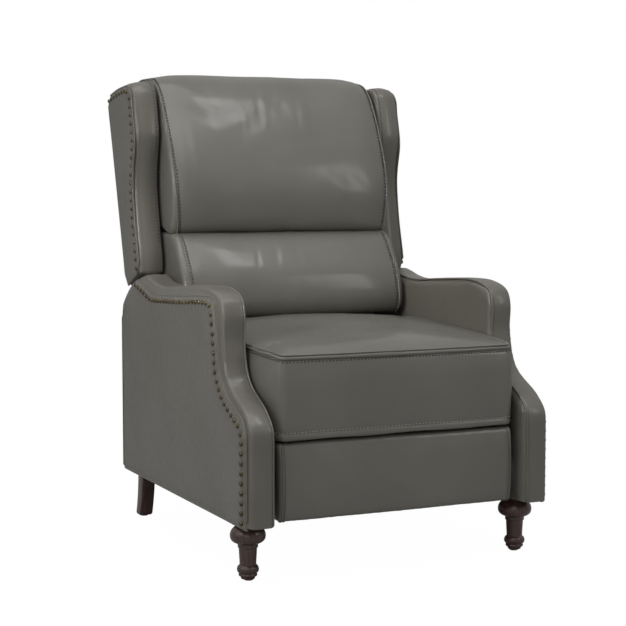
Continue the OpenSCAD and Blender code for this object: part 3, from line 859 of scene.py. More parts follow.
for side, word in SIDES:
    edge = wing_outline.ring(wing_profile[0][1])
    inner = [side_ring(p, side * WING_IN) for p in shrink_to(edge, WING_TARGET, INWARDS)][::-1]
    rings = [side_ring(wing_outline.ring(d), side * x) for x, d in wing_profile]
    last = wing_outline.ring(wing_profile[-1][1])
    cap = [side_ring(p, side * WING_OUT) for p in shrink_to(last, WING_TARGET, (0.3, 0.6, 0.9))]
    form = wrap(inner + rings + cap)
    cover(form, f"wing_{word}", "back")
    panel = nailed_panel(wing_panel_outline, WING_TARGET, wing_nail_line, 0.3475, side,
                         lambda rim: np.full(len(rim), 0.3440),
                         lambda rim: np.full(len(rim), 0.0030), 0.0010, 0.0015, pull=0.45)
    finish_piece(panel, f"wing_panel_{word}", shaded_panel_leather, "back")

for side, word in SIDES:
    cord_cover(side_ring(offset_line(wing_edge[2:-2], -0.0012), side * 0.3462), 0.0018,
               shaded_panel_leather, "back", f"wing_edge_welt_{word}")
nail_rows(wing_nail_line, 0.3484, "wing_nail_heads", "back", "wing_nails")

# %% [markdown]
# ## Uneven stuffing
#
# Stuffing is never quite even. `soften` moves the surface along its own normals by a slow
# noise, and `pucker` gathers the leather where a seam pulls it. Both are less than a
# millimetre or two, which is all that a highlight needs to look like leather over foam.

# %% Uneven stuffing
def slow_noise(co, size, seed):
    """At each point, a smooth value from -1 to 1 that drifts over about `size`."""
    shift = Vector((seed * 7.3, seed * 3.1, seed * 5.7))
    return np.array([noise.noise(Vector(p) / size + shift) for p in co])


def soften(piece, size, height, seed):
    co = points_of(piece)
    push_out(piece, co, slow_noise(co, size, seed) * height)


def near_path(co, path, reach):
    """A weight that is 1 on a path and fades to 0 at `reach`, and the length along it."""
    path = np.asarray(path)
    run = lengths_along(path)
    best = np.full(len(co), 1e9)
    s = np.zeros(len(co))
    for start in range(0, len(co), 4000):
        d = np.linalg.norm(co[start:start + 4000, None] - path[None], axis=2)
        k = d.argmin(axis=1)
        best[start:start + 4000] = d[np.arange(len(k)), k]
        s[start:start + 4000] = run[k]
    return np.clip(1 - best / reach, 0, 1) ** 2, s


def pucker(piece, path, reach, height, pitch, seed):
    """Gathers beside a seam: small uneven folds that run away from it."""
    co = points_of(piece)
    weight, s = near_path(co, path, reach)
    uneven = np.array([noise.noise(Vector((v / pitch, seed * 9.1, 0))) for v in s])
    push_out(piece, co, uneven * height * weight)


def crease(piece, top, bottom, width, depth):
    """A shallow fold down the front of a piece between two [x, z] points."""
    co = points_of(piece)
    t = (co[:, 2] - top[1]) / (bottom[1] - top[1])
    across = co[:, 0] - (top[0] + (bottom[0] - top[0]) * t)
    fade = np.clip(t * (1 - t) * 4, 0, 1)
    front = normals_of(piece)[:, 1] < -0.2
    push_out(piece, co, -depth * fade * front * (
        np.exp(-(across / width) ** 2)
        - 0.6 * np.exp(-((across - 2.2 * width) / width) ** 2)))

# %% [markdown]
# ## Stitches
#
# On a real seam each stitch is a short length of thread that dips into the leather at both
# ends. A texture would look flat from the side, so one stitch is turned from five rings and
# copied along the seam, each copy set on the leather below it.

# %% Stitches
def stitches(path, piece, pitch, material, body, name, length, radius, lift):
    """A row of thread stitches laid on a piece along a path."""
    path = np.asarray(path, float)
    total = lengths_along(path)[-1]
    count = int(total / pitch)
    spots = at_lengths(path, (np.arange(count) + 0.5) * total / count)
    ahead = at_lengths(path, (np.arange(count) + 0.6) * total / count)
    half = total / count * length / 2
    a = np.linspace(0, 2 * math.pi, 6, endpoint=False)
    rings = [np.stack([np.full(6, half * x), radius * r * np.cos(a), radius * r * np.sin(a)],
                      axis=1)
             for x, r in ((-1.0, 0.25), (-0.8, 0.9), (0.0, 1.15), (0.8, 0.9), (1.0, 0.25))]
    places = []
    for p, q in zip(spots, ahead):
        _, at, normal, _ = piece.closest_point_on_mesh(Vector(p))
        places.append(basis(at + normal * lift, Vector(q) - Vector(p), normal))
    return finish_piece(copies(wrap(rings), places), name, material, body)

# %% [markdown]
# ## Folds from a cloth simulation
#
# Leather over foam settles into faint hollows that are hard to draw by hand. A copy of the
# cover is filled with air pressure and held at its seams, and only its folds are kept, at
# part strength, because this chair's covers are pulled tight.

# %% Cloth simulation
def mean_nearby(points, values, places, count, weight):
    """At each place, the mean of the values at the nearest points, weighed by distance."""
    tree = kdtree.KDTree(len(points))
    for i, p in enumerate(points):
        tree.insert(p, i)
    tree.balance()
    out = np.zeros(len(places))
    for k, p in enumerate(places):
        near = tree.find_n(p, count)
        w = np.array([weight(d) for _, _, d in near])
        out[k] = (w * values[[i for _, i, _ in near]]).sum() / w.sum()
    return out


CLOTH = {"quality": 5, "mass": 0.3, "tension_stiffness": 15, "compression_stiffness": 15,
         "shear_stiffness": 5, "bending_stiffness": 2.0, "vertex_group_mass": "sewn",
         "shrink_min": -0.006, "use_pressure": True, "uniform_pressure_force": 4.0}
CLOTH_FRAMES = 20
CLOTH_GRID = 0.0065      # spacing of the copy's even mesh
SWELL_REACH = 0.045      # a move that is shared over this distance is swell and not a fold
DEEPEST_FOLD = 0.007


def settle(piece, held, keep):
    """Stuffs a copy of the cover in a cloth simulation, held at its seams, and takes over the
    folds and hollows that the leather makes. held gives, for points, 1 where a seam holds."""
    only(piece)
    bpy.ops.object.duplicate()
    copy = bpy.context.object
    bpy.ops.object.modifier_add(type="REMESH")
    copy.modifiers[-1].mode = "VOXEL"
    copy.modifiers[-1].voxel_size = CLOTH_GRID
    apply_modifiers(copy)
    start, out = points_of(copy), normals_of(copy)
    grip = held(start)
    sewn = copy.vertex_groups.new(name="sewn")
    for level in range(1, 11):
        held_here = np.nonzero(np.round(grip * 10) == level)[0]
        sewn.add([int(i) for i in held_here], level / 10, "REPLACE")
    bpy.ops.object.modifier_add(type="CLOTH")
    cloth = copy.modifiers[-1]
    for key, value in CLOTH.items():
        setattr(cloth.settings, key, value)
    cloth.settings.effector_weights.gravity = 0
    cloth.collision_settings.use_collision = False
    cloth.point_cache.frame_end = CLOTH_FRAMES
    for frame_number in range(1, CLOTH_FRAMES + 1):
        bpy.context.scene.frame_set(frame_number)
    apply_modifiers(copy)
    move = np.einsum("ij,ij->i", points_of(copy) - start, out)
    bpy.context.scene.frame_set(1)
    bpy.data.objects.remove(copy)
    every = max(1, len(start) // 2500)
    swell = mean_nearby(start[::every], move[::every], start, 24,
                        lambda d: math.exp(-(d / SWELL_REACH) ** 2) + 1e-6)
    folds = np.clip(move - swell, -DEEPEST_FOLD, DEEPEST_FOLD)
    co = points_of(piece)
    shift = mean_nearby(start, folds, co, 6, lambda d: 1 / (d + 0.002) ** 2)
    shift *= keep * (1 - held(co))
    push_out(piece, co, shift)
    print(f"cloth: {len(start)} points, swelled up to {move.max() * 1000:.1f} mm, "
          f"folds {np.abs(shift).max() * 1000:.1f} mm, {np.std(shift) * 1000:.2f} mm on average")


def grip_of(paths, reach, more):
    """1 on seam paths, fading to 0 at `reach`, and 1 where `more` says so."""
    def held(co):
        weight = np.max([near_path(co, p, reach)[0] ** 0.5 for p in paths], axis=0)
        return np.maximum(np.clip(weight * 1.6, 0, 1), more(co))
    return held

# %% Stitches on the wings
wing_front = spaced(dense_line(wing_line)[22:-22], 0.006)
for side, word in SIDES:
    stitches(side_ring(wing_front, side * (WING_IN + 0.0085)),
             bpy.data.objects[f"wing_{word}_cover"], 0.0078, hole_shade_thread, "back",
             f"wing_stitches_{word}", length=0.46, radius=0.0012, lift=0.0002)

# %% [markdown]
# ## Upper back cushion
#
# The cushion is two faces sewn to a welt at each side. Seen from the side, the middle bulges
# forwards of the welts and rolls over the top of the chair. So there are two patterns, one
# at a welt and one in the middle, and every ring between them is a blend of the two.

# %% A stuffed cushion
SEWN_IN = 0.0060         # how far inside a welt the stitch line runs
NEAR_SEAM = np.array([0, 1.2, 2.5, 3.8, 4.9, 5.6, 6.2, 7, 8.2, 10.2, 13, 16.5, 21, 26.5, 33]) / 1000


def stuffed(rim, middle, rear, half_width, power, cap_x, target, step=0.006):
    """A cushion lofted along X. half_width gives, for a height, how far out the rim is."""
    rim_line, mid_line = dense_line(rim), dense_line(middle)
    run = lengths_along(mid_line)
    s = np.linspace(0, run[-1], int(run[-1] / step))
    rim_line, mid_line = (np.stack([np.interp(s, run, line[:, k]) for k in (0, 1)], axis=1)
                          for line in (rim_line, mid_line))
    back_line = spaced(np.concatenate([rim_line[-1:], rear, rim_line[:1]]), 0.012)[1:-1]
    mid_back = spaced(np.concatenate([mid_line[-1:], rear, mid_line[:1]]),
                      count=len(back_line) + 2)[1:-1]
    rim_ring = np.concatenate([rim_line, back_line])
    bulge = np.concatenate([mid_line, mid_back]) - rim_ring
    front = slice(0, len(rim_line))
    out = half_width(rim_ring[:, 1])
    inward = np.sign(np.sum(bulge[front] * (offset_line(rim_line, 1.0) - rim_line)))
    edge = 1 - NEAR_SEAM / out.mean()
    across = np.concatenate([-edge, np.linspace(-edge[-1], edge[-1], 81)[1:-1], edge[::-1]])
    middle_rings = []
    for f in across:
        from_seam = (1 - abs(f)) * out.mean()
        dip = (0.0003 * math.exp(-((from_seam - SEWN_IN) / 0.0017) ** 2)
               + 0.0011 * math.exp(-((from_seam - 0.0026) / 0.0011) ** 2))
        ring = rim_ring + bulge * (1 - abs(f) ** power)
        ring[front] = offset_line(ring[front], -dip * inward)
        middle_rings.append(side_ring(ring, f * out))
    toward = shrink_to(rim_ring, target, (1.0,))[0] - rim_ring
    size = np.maximum(np.linalg.norm(toward, axis=1), 1e-6)[:, None]
    caps = []
    for side, _ in SIDES:             # the caps over the cushion's two ends
        part = [side_ring(rim_ring + toward / size * np.minimum(d, size * 0.5),
                          side * (out + (cap_x - out) * grow))
                for grow, d in ((0.15, 0.0006), (0.45, 0.0018), (0.75, 0.0042), (0.93, 0.0085),
                                (1.0, 0.0150))]
        last = part[-1]
        flat = last[:, 1:] - [FRONT, 0]
        caps.append(part + [side_ring(p, last[:, 0])
                            for p in shrink_to(flat, target, (.15, .3, .5, .7, .95))])
    return wrap(caps[0][::-1] + middle_rings + caps[1]), rim_line, out[front], inward

# %% Dressing a cushion of the back
CUSHION_END = 0.2795     # X of the flat ends of the back's cushions


def back_cushion(node, word, lines, width, power, target, grip_x, keep, gathers, uneven, folds,
                 fine, row):
    """Makes one of the back's two cushions: stuffs it, settles it, gathers it at its welts,
    adds its folds and sews it. lines are its pattern at a welt, in the middle and behind,
    uneven and fine are the lumps before and after the folds, and row says which points of
    its edge carry stitches."""
    piece, edge, x, inward = stuffed(*lines, width, power, CUSHION_END, target)
    welts = {side: side_ring(offset_line(edge, 0.0012 * inward), side * (x + 0.0010))
             for side, _ in SIDES}
    settle(piece, grip_of(list(welts.values()), 0.016,
                          lambda co: (np.abs(co[:, 0]) > grip_x) * 1.0), keep)
    reach, pitch, seed = gathers
    for side, _ in SIDES:
        pucker(piece, welts[side], reach, 0.0010, pitch, seed=side + seed)
    for lumps in uneven:
        soften(piece, *lumps)
    for fold in folds:
        crease(piece, *fold)
    for lumps in fine:
        soften(piece, *lumps)
    cover(piece, node, "back", cushion_leather)
    for side, side_word in SIDES:
        cord_cover(welts[side], 0.0020, cushion_leather, "back", f"{word}_welt_{side_word}")
        stitches(side_ring(edge[row], side * (x[row] - SEWN_IN)), piece, 0.0078, hole_shade_thread,
                 "back", f"{word}_stitches_{side_word}", length=0.50, radius=0.0017, lift=0.0006)

# %% Upper back cushion
upper_mid = mm(660, 684, 632, 684, 611, 695, 602, 728, 598, 774, 603, 820, 618, 870, 638, 915,
               662, 960, 688, 1005, 712, 1036, 742, 1053, 775, 1059, 812, 1059, 845, 1057,
               870, 1051, 883, 1040, 884, 1026, 877, 1008)
upper_rim = mm(660, 684, 638, 681, 620, 693, 613, 728, 612, 768, 618, 815, 634, 862, 655, 908,
               680, 957, 706, 1000, 728, 1024, 752, 1039, 780, 1045, 812, 1046, 843, 1045,
               866, 1040, 878, 1031, 880, 1020, 876, 1007)
back_cushion("back_cushion", "back_cushion", (upper_rim, upper_mid, mm(840, 1018, 748, 701)),
             width=lambda z: np.interp(z, [0.688, 0.80, 0.95], [0.2655, 0.2725, 0.2750]),
             power=9, target=((0.70, 0.76), (0.80, 0.98)), grip_x=0.27, keep=0.14,
             gathers=(0.045, 0.014, 3), uneven=((0.10, 0.0014, 1),),
             folds=(((-0.0880, 0.978), (-0.1050, 0.828), 0.0036, 0.0004),
                    ((-0.0360, 1.030), (-0.0460, 0.925), 0.0080, 0.0004),
                    ((0.0980, 1.046), (0.0970, 0.935), 0.0040, 0.0002),
                    ((-0.2370, 0.955), (-0.2330, 0.795), 0.0070, 0.0008),
                    ((0.0640, 1.020), (0.0500, 0.910), 0.0090, 0.0003)),
             fine=((0.035, 0.0004, 2),), row=slice(6, -4))

# %% [markdown]
# ## Lumbar cushion
#
# A narrow pillow fills the small of the back. It is sewn like the cushion above it, and the
# two meet in a deep crease.

# %% Lumbar cushion
lumbar_mid = mm(624, 686, 606, 679, 592, 670, 581, 660, 570.5, 648, 560.7, 635, 550, 620,
                541.2, 607, 535.5, 597, 530.2, 585, 526.2, 572, 523.5, 560, 521.2, 545, 520.5, 526,
                526, 507, 536, 495, 552, 489)
lumbar_rim = mm(626, 686, 611, 677, 601, 668, 591, 657.5, 582, 646, 573, 633, 562.5, 617,
                554, 603.5, 548, 593, 543, 581, 538.5, 568.5, 535, 556, 531.8, 540, 530.8, 522,
                535, 505, 544, 496, 554, 491)
lumbar_rear = mm(600, 489, 691, 503, 744, 690, 700, 688)
back_cushion("lumbar_cushion", "lumbar", (lumbar_rim, lumbar_mid, lumbar_rear),
             width=lambda z: np.full(len(z), 0.265), power=5,
             target=((0.60, 0.57), (0.68, 0.62)), grip_x=0.262, keep=0.25,
             gathers=(0.04, 0.013, 7), uneven=((0.09, 0.0013, 4),),
             folds=(((-0.0850, 0.672), (-0.0980, 0.585), 0.0045, 0.0004),
                    ((-0.0360, 0.674), (-0.0500, 0.600), 0.0070, 0.0004),
                    ((0.0100, 0.660), (0.0165, 0.575), 0.0060, 0.0003),
                    ((0.0910, 0.676), (0.1080, 0.600), 0.0050, 0.0002)),
             fine=(), row=slice(3, -3))

# %% [markdown]
# ## Seat cushion
#
# The seat is a boxed cushion: a top, a band round the front and sides, and an apron under the
# front edge. Its seams run level, so this one is built upwards from rings in plan. The top
# rolls up from its seam and crowns towards the middle.

# %% Plan and levels of the seat
seat_side = dense_line(mm(269, 23.5, 276.5, 55, 282, 100, 284, 200, 284, 400, 280, 520,
                          269, 603), steps=6)
seat_plan = Outline(
    [mm(-269, 23.5, -150, 19.5, 0, 18, 150, 19.5, 269, 23.5), seat_side,
     mm(269, 603, -269, 603), seat_side[::-1] * [-1, 1]],
    rounding=[0.020, 0.020, 0.030, 0.030], step=0.005)
SEAT_LOW, SEAT_SEAM = 0.2885, 0.457      # heights of the apron's lip and of the top seam


def seat_seam(y):
    return SEAT_SEAM + np.interp(y, [0.02, 0.06, 0.15, 0.35, 0.50, 0.60],
                                 [0, 0.006, 0.011, 0.020, 0.025, 0.010])


def seat_top(x, y):
    base = np.interp(y, [0.02, 0.06, 0.112, 0.219, 0.325, 0.428, 0.523, 0.56, 0.596, 0.61],
                     [0.464, 0.468, 0.472, 0.477, 0.481, 0.484, 0.483, 0.475, 0.462, 0.455])
    crown = 0.0135 + 0.0045 * np.exp(-((y - 0.42) / 0.07) ** 2)
    return base + crown * (1 - np.clip(np.abs(x) / 0.267, 0, 1) ** 2)


def seat_level(z, y, x):
    """Moves a height on the boxing to follow the seam above and the apron below. The sides hang
    lower than the rest, over the rails."""
    step_up = np.clip((y - 0.066) / 0.013, 0, 1)
    skirt = np.clip((np.abs(x) - 0.2645) / 0.0015, 0, 1) * np.clip((0.52 - y) / 0.02, 0, 1)
    low = SEAT_LOW + (0.057 - 0.0455 * skirt) * step_up * step_up * (3 - 2 * step_up)
    return low + (z - SEAT_LOW) * (seat_seam(y) - low) / (SEAT_SEAM - SEAT_LOW)

# %% Rings of the seat
def on_boxing(p, z):
    """Points of a plan ring, laid at a height of the boxing."""
    return np.column_stack([p[:, 0], p[:, 1] + FRONT, seat_level(z, p[:, 1], p[:, 0])])


TOP_FOOT, TOP_ROLL = 0.0037, 0.0615      # where the top starts to rise, and over how far


def on_top(p, depth):
    """Points of the seat's top, given how far inside the seam they lie."""
    inside = np.maximum(depth - TOP_FOOT, 0)
    rise = 1 - (1 - np.minimum(inside / TOP_ROLL, 1)) ** 2.4
    seam = seat_seam(p[:, 1])
    z = seam + 0.0022 * np.exp(-inside / 0.010) + (seat_top(p[:, 0], p[:, 1]) - seam) * rise
    return np.column_stack([p[:, 0], p[:, 1] + FRONT, z])


# [inset, height] up the front: apron lip, stitch line, boxing, stitch line, flange
SEAT_BOX = mm(6, 288.5, 2.8, 289.2, 1, 291.5, 0.2, 295, 0.3, 298.2, 0.8, 300.6, 1.8, 302.4,
              2.2, 303.4, 1.4, 304.6, 0.5, 306.8, 0, 310.5, -0.4, 316, -1.2, 330, -2, 348,
              -2.6, 366, -2.8, 384, -2.6, 402, -1.8, 418, -0.4, 432, 0.8, 439, 1.4, 444,
              2.4, 446.4, 4.8, 447.8, 4.8, 448.5, 3, 449.3, 1.6, 450.8, 0.9, 453, 1.1, 454.8,
              2.4, 456, 5.8, 456.6, 6, 457.4)
LAST_INSET = 0.051
flat = seat_plan.ring(0.050)
rings = [on_boxing(p, SEAT_LOW)
         for p in shrink_to(flat, ((-0.10, 0.31), (0.10, 0.31)), INWARDS)[::-1]]
rings += [on_boxing(seat_plan.ring(d), SEAT_LOW)
          for d in (0.050, 0.044, 0.036, 0.028, 0.020, 0.012)]
for d, z in SEAT_BOX:
    p = seat_plan.ring(d)
    tuck = 0.010 * np.clip((0.355 - z) / 0.05, 0, 1) * np.clip((p[:, 1] - 0.50) / 0.04, 0, 1)
    ring = on_boxing(p, z)
    ring[:, 0] -= np.sign(p[:, 0]) * np.where(np.abs(p[:, 0]) > 0.2, tuck, 0)
    rings.append(ring)
p = seat_plan.ring(0.0044)
rings.append(np.column_stack([p[:, 0], p[:, 1] + FRONT, seat_seam(p[:, 1]) + 0.0014]))
rings += [on_top(seat_plan.ring(d), d)
          for d in (TOP_FOOT, 0.0040, 0.0052, 0.0070, 0.0095, 0.0125, 0.0160, 0.020, 0.025, 0.031,
                    0.037, 0.044, LAST_INSET)]

# %% The seat's top
def patch(ring, counts):
    """A grid of points inside a ring of four sides, given how many points each side has."""
    starts = np.cumsum([0] + counts)
    ring = np.concatenate([ring, ring[:1]])
    a, b, c, d = [ring[starts[k]:starts[k + 1] + 1] for k in range(4)]
    c, d = c[::-1], d[::-1]
    u, v = (np.linspace(0, 1, n + 1)[:, None] for n in counts[:2])
    return [(1 - t) * a + t * c + (1 - u) * d[i] + u * b[i]
            - (1 - t) * ((1 - u) * a[0] + u * a[-1]) - t * ((1 - u) * c[0] + u * c[-1])
            for i, t in enumerate(v[:, 0])]


edge_ring = seat_plan.ring(LAST_INSET)
rows = patch(edge_ring, [len(seg) - 1 for seg in seat_plan.segments])
edge_ring = np.concatenate([edge_ring, edge_ring[:1]])
cap_rows = [on_top(row, LAST_INSET + (nearest_on(row, edge_ring)[1] if k else np.zeros(len(row))))
            for k, row in enumerate(rows)]
middle = wrap(cap_rows, closed=False, ends="open")
seat = join([wrap(rings, ends="open"), middle])
weld(1e-5, fill=True)

# %% Settling and sewing the seat
def seat_path(d, z, rear=0.50):
    """A line at a height of the boxing from one rear corner round the front to the other."""
    p = seat_plan.ring(d)
    p = np.roll(p, len(p) // 2 - int(np.argmin(p[:, 1] + np.abs(p[:, 0]))), axis=0)
    return on_boxing(p[p[:, 1] < rear], z)


top_seam = seat_path(0.0060, SEAT_SEAM)
settle(seat, grip_of([top_seam, seat_path(0.0040, 0.3026)], 0.018,
                     lambda co: ((co[:, 2] < 0.32) | (co[:, 1] > FRONT + 0.55)) * 1.0), 0.25)
pucker(seat, top_seam + [0, 0, 0.012], 0.030, 0.0008, 0.016, seed=11)
soften(seat, 0.11, 0.0020, seed=13)
soften(seat, 0.040, 0.0005, seed=14)
cover(seat, "seat_cushion", "carriage", cushion_leather)
stitches(seat_path(0.0024, 0.4456), seat, 0.0078, hole_shade_thread, "carriage", "seat_top_stitches",
         length=0.48, radius=0.0014, lift=0.0005)
stitches(seat_path(0.0008, 0.3048, 0.060), seat, 0.0080, light_thread, "carriage",
         "seat_apron_stitches", length=0.52, radius=0.0012, lift=0.0005)

# %% Shade lining round the seat's front rail
# A black sleeve over wood in a gap, painting the shade of that gap.
def shade_lining(name, body, line, xs):
    rings = [side_ring(line, x) for x in xs]
    finish_piece(wrap(rings), name, shade_black_cambric, body, angle=30)


rail_line = mm(70, 299, 70, 345, 72, 346.5, 97.5, 346.5, 98.5, 345, 98.5, 298.5, 97.5, 297,
               71.5, 297)
shade_lining("seat_front_rail_shade_lining", "carriage", rail_line, (-0.2635, -0.2630, 0.0, 0.2630, 0.2635))

# %% [markdown]
# ## Footrest pad
#
# Closed, the footrest is the front panel under the seat: a thin pad over a plywood board. Two
# upright seams part its front from the boxing that wraps round its ends.

# %% Footrest pad
rest_line = mm(60, 132, 59, 125, 52, 122.5, 36, 123, 27.5, 127, 24, 140, 22, 165, 21.2, 200,
               22, 240, 24.5, 264, 28.5, 279, 37, 284, 52, 284.5, 59, 282, 60, 275, 60, 240,
               60, 204, 60, 168)
rest_ring = dense_line(rest_line, closed=True)
rest_ring = spaced(np.concatenate([rest_ring, rest_ring[:1]]), 0.0045)[:-1][::-1]


def closed_inset(loop, d):
    along = np.roll(loop, -1, axis=0) - np.roll(loop, 1, axis=0)
    along /= np.linalg.norm(along, axis=1)[:, None]
    return loop + np.stack([-along[:, 1], along[:, 0]], axis=1) * d


REST_TARGET = ((0.041, 0.16), (0.041, 0.25))
REST_SEAM = 0.262
half = [(x, 0.0006 * (abs(x) / REST_SEAM) ** 2) for x in np.linspace(0, REST_SEAM - 0.004, 44)]
half += [(REST_SEAM - 0.0022, 0.0010), (REST_SEAM - 0.0008, 0.0019), (REST_SEAM, 0.0024),
         (REST_SEAM + 0.0008, 0.0019), (REST_SEAM + 0.0022, 0.0013), (REST_SEAM + 0.005, 0.0017),
         (REST_SEAM + 0.0075, 0.0034), (REST_SEAM + 0.0092, 0.0062), (REST_SEAM + 0.0100, 0.0095)]
profile = [(-x, d) for x, d in half[::-1]][:-1] + half
rings = [side_ring(closed_inset(rest_ring, d), x) for x, d in profile]
first = closed_inset(rest_ring, half[-1][1])
left_cap, right_cap = ([side_ring(p, side * half[-1][0])
                        for p in shrink_to(first, REST_TARGET, (0.3, 0.6, 0.9))]
                       for side, _ in SIDES)
rest = wrap(left_cap[::-1] + rings + right_cap)
soften(rest, 0.08, 0.0009, seed=21)
co = points_of(rest)
folds = np.array([noise.noise(Vector((x / 0.012, z / 0.11, 4.0))) for x, _, z in co])
edge = np.exp(-((co[:, 2] - 0.276) / 0.018) ** 2) + np.exp(-((co[:, 2] - 0.130) / 0.016) ** 2)
push_out(rest, co, folds * edge * 0.0007)
cover(rest, "footrest_pad", "footrest", cushion_leather)
front_of_rest = rest_ring[(rest_ring[:, 0] < 0.055)]
steps = np.linalg.norm(np.diff(front_of_rest, axis=0), axis=1)
if steps.max() > 0.01:
    front_of_rest = np.roll(front_of_rest, -int(np.argmax(steps)) - 1, axis=0)
for side, word in SIDES:
    for k, shift in enumerate((-0.0032, 0.0032)):
        line = side_ring(closed_inset(front_of_rest, 0.0004)[2:-2], side * (REST_SEAM + shift))
        cord_cover(line, 0.0013, cushion_leather, "footrest", f"footrest_welt_{word}_{k + 1}", 6)

# %% [markdown]
# ## Black linings that paint shade
#
# Where wood would show through a gap that lies in shade, at the seat's front rail, the footrest
# board, the rear rail and the crease between the back's cushions, black cloth covers it and paints
# that shade. A chair maker staples thin black cambric over such wood in the same way. Each lining
# is a flat sleeve or strip that lies just off the wood, because a real one does too.

# %% Shade linings round the footrest board, on the rear rail and between the back cushions
board_line = mm(60.6, 128.4, 60.6, 278.6, 61.6, 279.6, 74.4, 279.6, 75.4, 278.6, 75.4, 128.4,
                74.4, 127.4, 61.6, 127.4)
shade_lining("footrest_board_shade_lining", "footrest", board_line, (-0.2628, -0.2622, 0.0, 0.2622, 0.2628))
shade_lining("rear_rail_shade_lining", "base",
       mm(740.5, 130, 741.5, 129, 741.8, 129, 741.8, 199, 741.5, 199, 740.5, 198),
       (-0.2840, 0.0, 0.2840))
shade_lining("back_gap_shade_lining", "back",
       mm(733, 691.4, 744, 691.6, 745, 692.6, 745, 697.2, 744, 697.6, 733, 696.2),
       (-0.2680, 0.0, 0.2680))

# %% [markdown]
# ## Outside back and rear panel
#
# The outside back is a sheet over a curved board: flat above, then a quarter drum about the
# hinge, so that it slides past the fixed panel below. Both have softly rounded edges.

# %% Outside back
def sheet(outline, edge, xs):
    """A board's cover. edge gives [x, inset] from the middle of its side edge to its face."""
    return wrap([side_ring(outline.ring(d), -x) for x, d in edge]
                + [side_ring(outline.ring(0), x) for x in xs]
                + [side_ring(outline.ring(d), x) for x, d in edge[::-1]])


DRUM_R, SKIN = 0.172, 0.012
HALF_X = 0.2852
flat_d = ((BACK_FOOT[0] - HINGE[0]) * math.cos(LEAN) - (BACK_FOOT[1] - HINGE[1]) * math.sin(LEAN))
a_out, a_in = (math.degrees(math.acos((flat_d - t) / (DRUM_R - t)) - LEAN) for t in (0, SKIN))
shell_line = np.concatenate([
    arc(HINGE, DRUM_R, -10, a_out, 40), spaced([on_back(0.50, 0), on_back(1.006, 0)], 0.01),
    [on_back(1.0105, 0.0008), on_back(1.0140, 0.0030), on_back(1.0145, 0.0065),
     on_back(1.0120, 0.0112)],
    spaced([on_back(1.0, SKIN), on_back(0.50, SKIN)], 0.01),
    arc(HINGE, DRUM_R - SKIN, a_in, -10, 40)])
apart = np.linalg.norm(np.diff(shell_line, axis=0), axis=1) > 1e-4
shell_line = shell_line[np.concatenate([[True], apart])]
shell = Outline([shell_line, [shell_line[-1], shell_line[0]]], [0.003, 0.003], 0.006)
edge = [(HALF_X, 0.0045), (HALF_X - 0.0003, 0.0030), (HALF_X - 0.0012, 0.0014),
        (HALF_X - 0.0028, 0.0004), (HALF_X - 0.0045, 0.0)]
outside = sheet(shell, edge, np.linspace(-(HALF_X - 0.010), HALF_X - 0.010, 49))
soften(outside, 0.16, 0.0010, seed=31)
cover(outside, "back_outer_panel", "back", name="outside_back_cover", angle=40)
welt_line = np.concatenate([arc(HINGE, DRUM_R, 0, a_out, 30),
                            spaced([on_back(0.50, 0), on_back(1.006, 0)], 0.008)])
for side, word in SIDES:
    cord_cover(side_ring(welt_line, side * (HALF_X - 0.0030)), 0.0022, shaded_panel_leather, "back",
               f"outside_back_welt_{word}")
WELT_Z = 1.0085
line = [(x, on_back(WELT_Z, -0.0002)[0] + FRONT, WELT_Z)
        for x in np.linspace(-HALF_X + 0.003, HALF_X - 0.003, 120)]
cord_cover(line, 0.0022, shaded_panel_leather, "back", "outside_back_welt_top")

# %% Rear lower panel
corners = mm(776, 121, 790, 121, 790, 360, 776, 360, 776, 121)
low_outline = Outline([corners[k:k + 2] for k in range(4)], [0.002, 0.004, 0.005, 0.003], 0.0015)
HALF_X = 0.2866
edge = [(HALF_X, 0.0050), (HALF_X - 0.0008, 0.0022), (HALF_X - 0.0024, 0.0006),
        (HALF_X - 0.0045, 0.0)]
cover(sheet(low_outline, edge, np.linspace(-0.278, 0.278, 49)), "rear_lower_panel", "base",
      angle=40)

# %% [markdown]
# ## Legs
#
# A front leg is turned on a lathe, so it is made the way a lathe works: half an outline, spun
# about its own axis. The swept rear legs are sawn square and eased along their edges.

# %% Turned front legs
LEG_AT = (0.3160, 0.083)
leg_profile = mm(0, 3, 13, 3, 14, 3.7, 15, 7.6, 16.6, 8.4, 18.4, 9.4, 19.2, 11.4, 18.8, 13.6,
                 17.8, 15.2, 18.6, 16.2, 20.8, 17.4, 22.2, 20.2, 22.5, 23.6, 21.6, 27.4,
                 19.6, 30.4, 17.2, 32, 17, 33.5, 17.3, 42, 17.9, 52, 18.4, 62, 18.6, 66.4,
                 20, 67.6, 20.8, 69.6, 20.8, 72, 20.6, 73.6, 21.4, 75.6, 24.4, 77, 29.3, 79.2,
                 33.3, 82.4, 35.8, 86.6, 36.6, 91.4, 36.4, 96, 35, 100.8, 32.2, 105.4, 28.2, 109.4,
                 24.4, 112.2, 22.6, 114.6, 22.2, 117.5, 22.2, 120.8, 0, 120.8)


def turned(profile, steps=48):
    clear()
    bpy.ops.mesh.primitive_grid_add(x_subdivisions=len(profile) - 1, y_subdivisions=1)
    piece = bpy.context.object
    line = np.column_stack([profile[:, 0], np.zeros(len(profile)), profile[:, 1]])
    place_points(piece, np.concatenate([line, line]))
    bpy.ops.object.mode_set(mode="EDIT")
    bpy.ops.mesh.select_all(action="SELECT")
    bpy.ops.mesh.remove_doubles(threshold=1e-6)
    bpy.ops.mesh.select_all(action="SELECT")
    bpy.ops.mesh.spin(steps=steps, angle=2 * math.pi, center=(0, 0, 0), axis=(0, 0, 1))
    weld()
    return piece


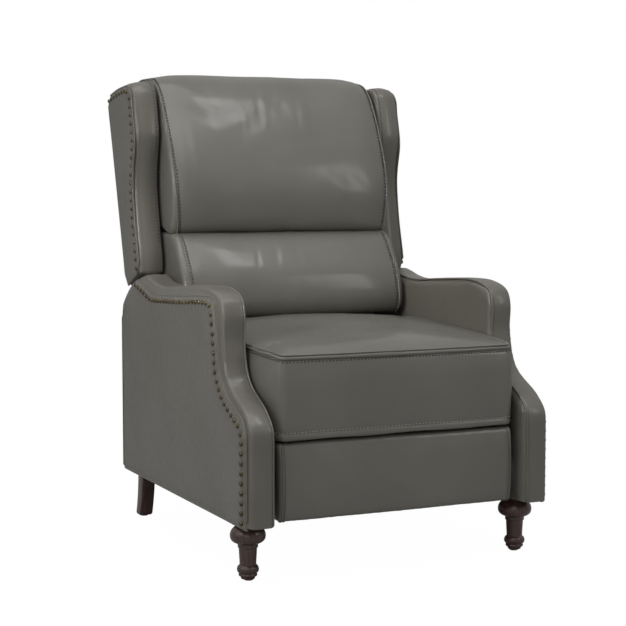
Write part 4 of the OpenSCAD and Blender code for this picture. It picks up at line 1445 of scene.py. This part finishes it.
for side, word in SIDES:
    leg = turned(leg_profile)
    bpy.ops.transform.translate(value=(side * LEG_AT[0], LEG_AT[1] + FRONT, 0))
    finish_piece(leg, f"front_leg_{word}_turned", espresso_wood, "base", [f"front_leg_{word}"],
                 angle=32)

# %% Swept rear legs
LEG_FOOT, LEG_HEIGHT, LEG_CORNER = 0.003, 0.118, 0.003
for side, word in SIDES:
    rings = []
    for z in np.concatenate([[0.003, 0.0034, 0.0045, 0.0065], np.linspace(0.012, 0.1205, 14)]):
        t = (z - LEG_FOOT) / LEG_HEIGHT
        ease = 0.0022 * max(0, 1 - (z - LEG_FOOT) / 0.0035)
        y = 0.747 + 0.021 * (1 - t) ** 2 + FRONT
        reach_x = 0.016 - ease - LEG_CORNER
        reach_y = 0.018 - 0.003 * (1 - t) - ease - LEG_CORNER
        rings.append([[side * 0.303 + cx * reach_x + LEG_CORNER * math.cos(a),
                       y + cy * reach_y + LEG_CORNER * math.sin(a), z]
                      for cx, cy, a0 in ((1, 1, 0), (-1, 1, 90), (-1, -1, 180), (1, -1, 270))
                      for a in np.radians(np.linspace(a0, a0 + 90, 5))])
    finish_piece(wrap(rings), f"rear_leg_{word}_swept", espresso_wood, "base",
                 [f"rear_leg_{word}"], angle=40)

# %% [markdown]
# ## Frame, springs and linkage
#
# These stay as the CAD made them. Each gets the material of the real thing, and a board gets
# the wood whose grain runs along its length.

# %% Materials on the CAD nodes
node_materials = {
    beech_x: "rear_rail seat_front_rail seat_rear_rail back_top_rail back_bottom_rail",
    beech_y: "arm_frame_left arm_frame_right seat_side_rail_left seat_side_rail_right",
    beech_z: "back_post_left back_post_right", birch_ply: "footrest_board",
    spring_steel: "seat_springs back_springs", nickel: "leg_glides",
    zinc: "leg_bolts mount_bolts carriage_screws", black_paint: "base_tube torque_tube",
}
material_of = {name: m for m, names in node_materials.items() for name in names.split()}
for name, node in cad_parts.items():
    material = material_of.get(name, zinc if "link" in name else black_paint)
    if not node.hide_render:
        for slot in node.material_slots:
            slot.material = material
        print(name, material.name)
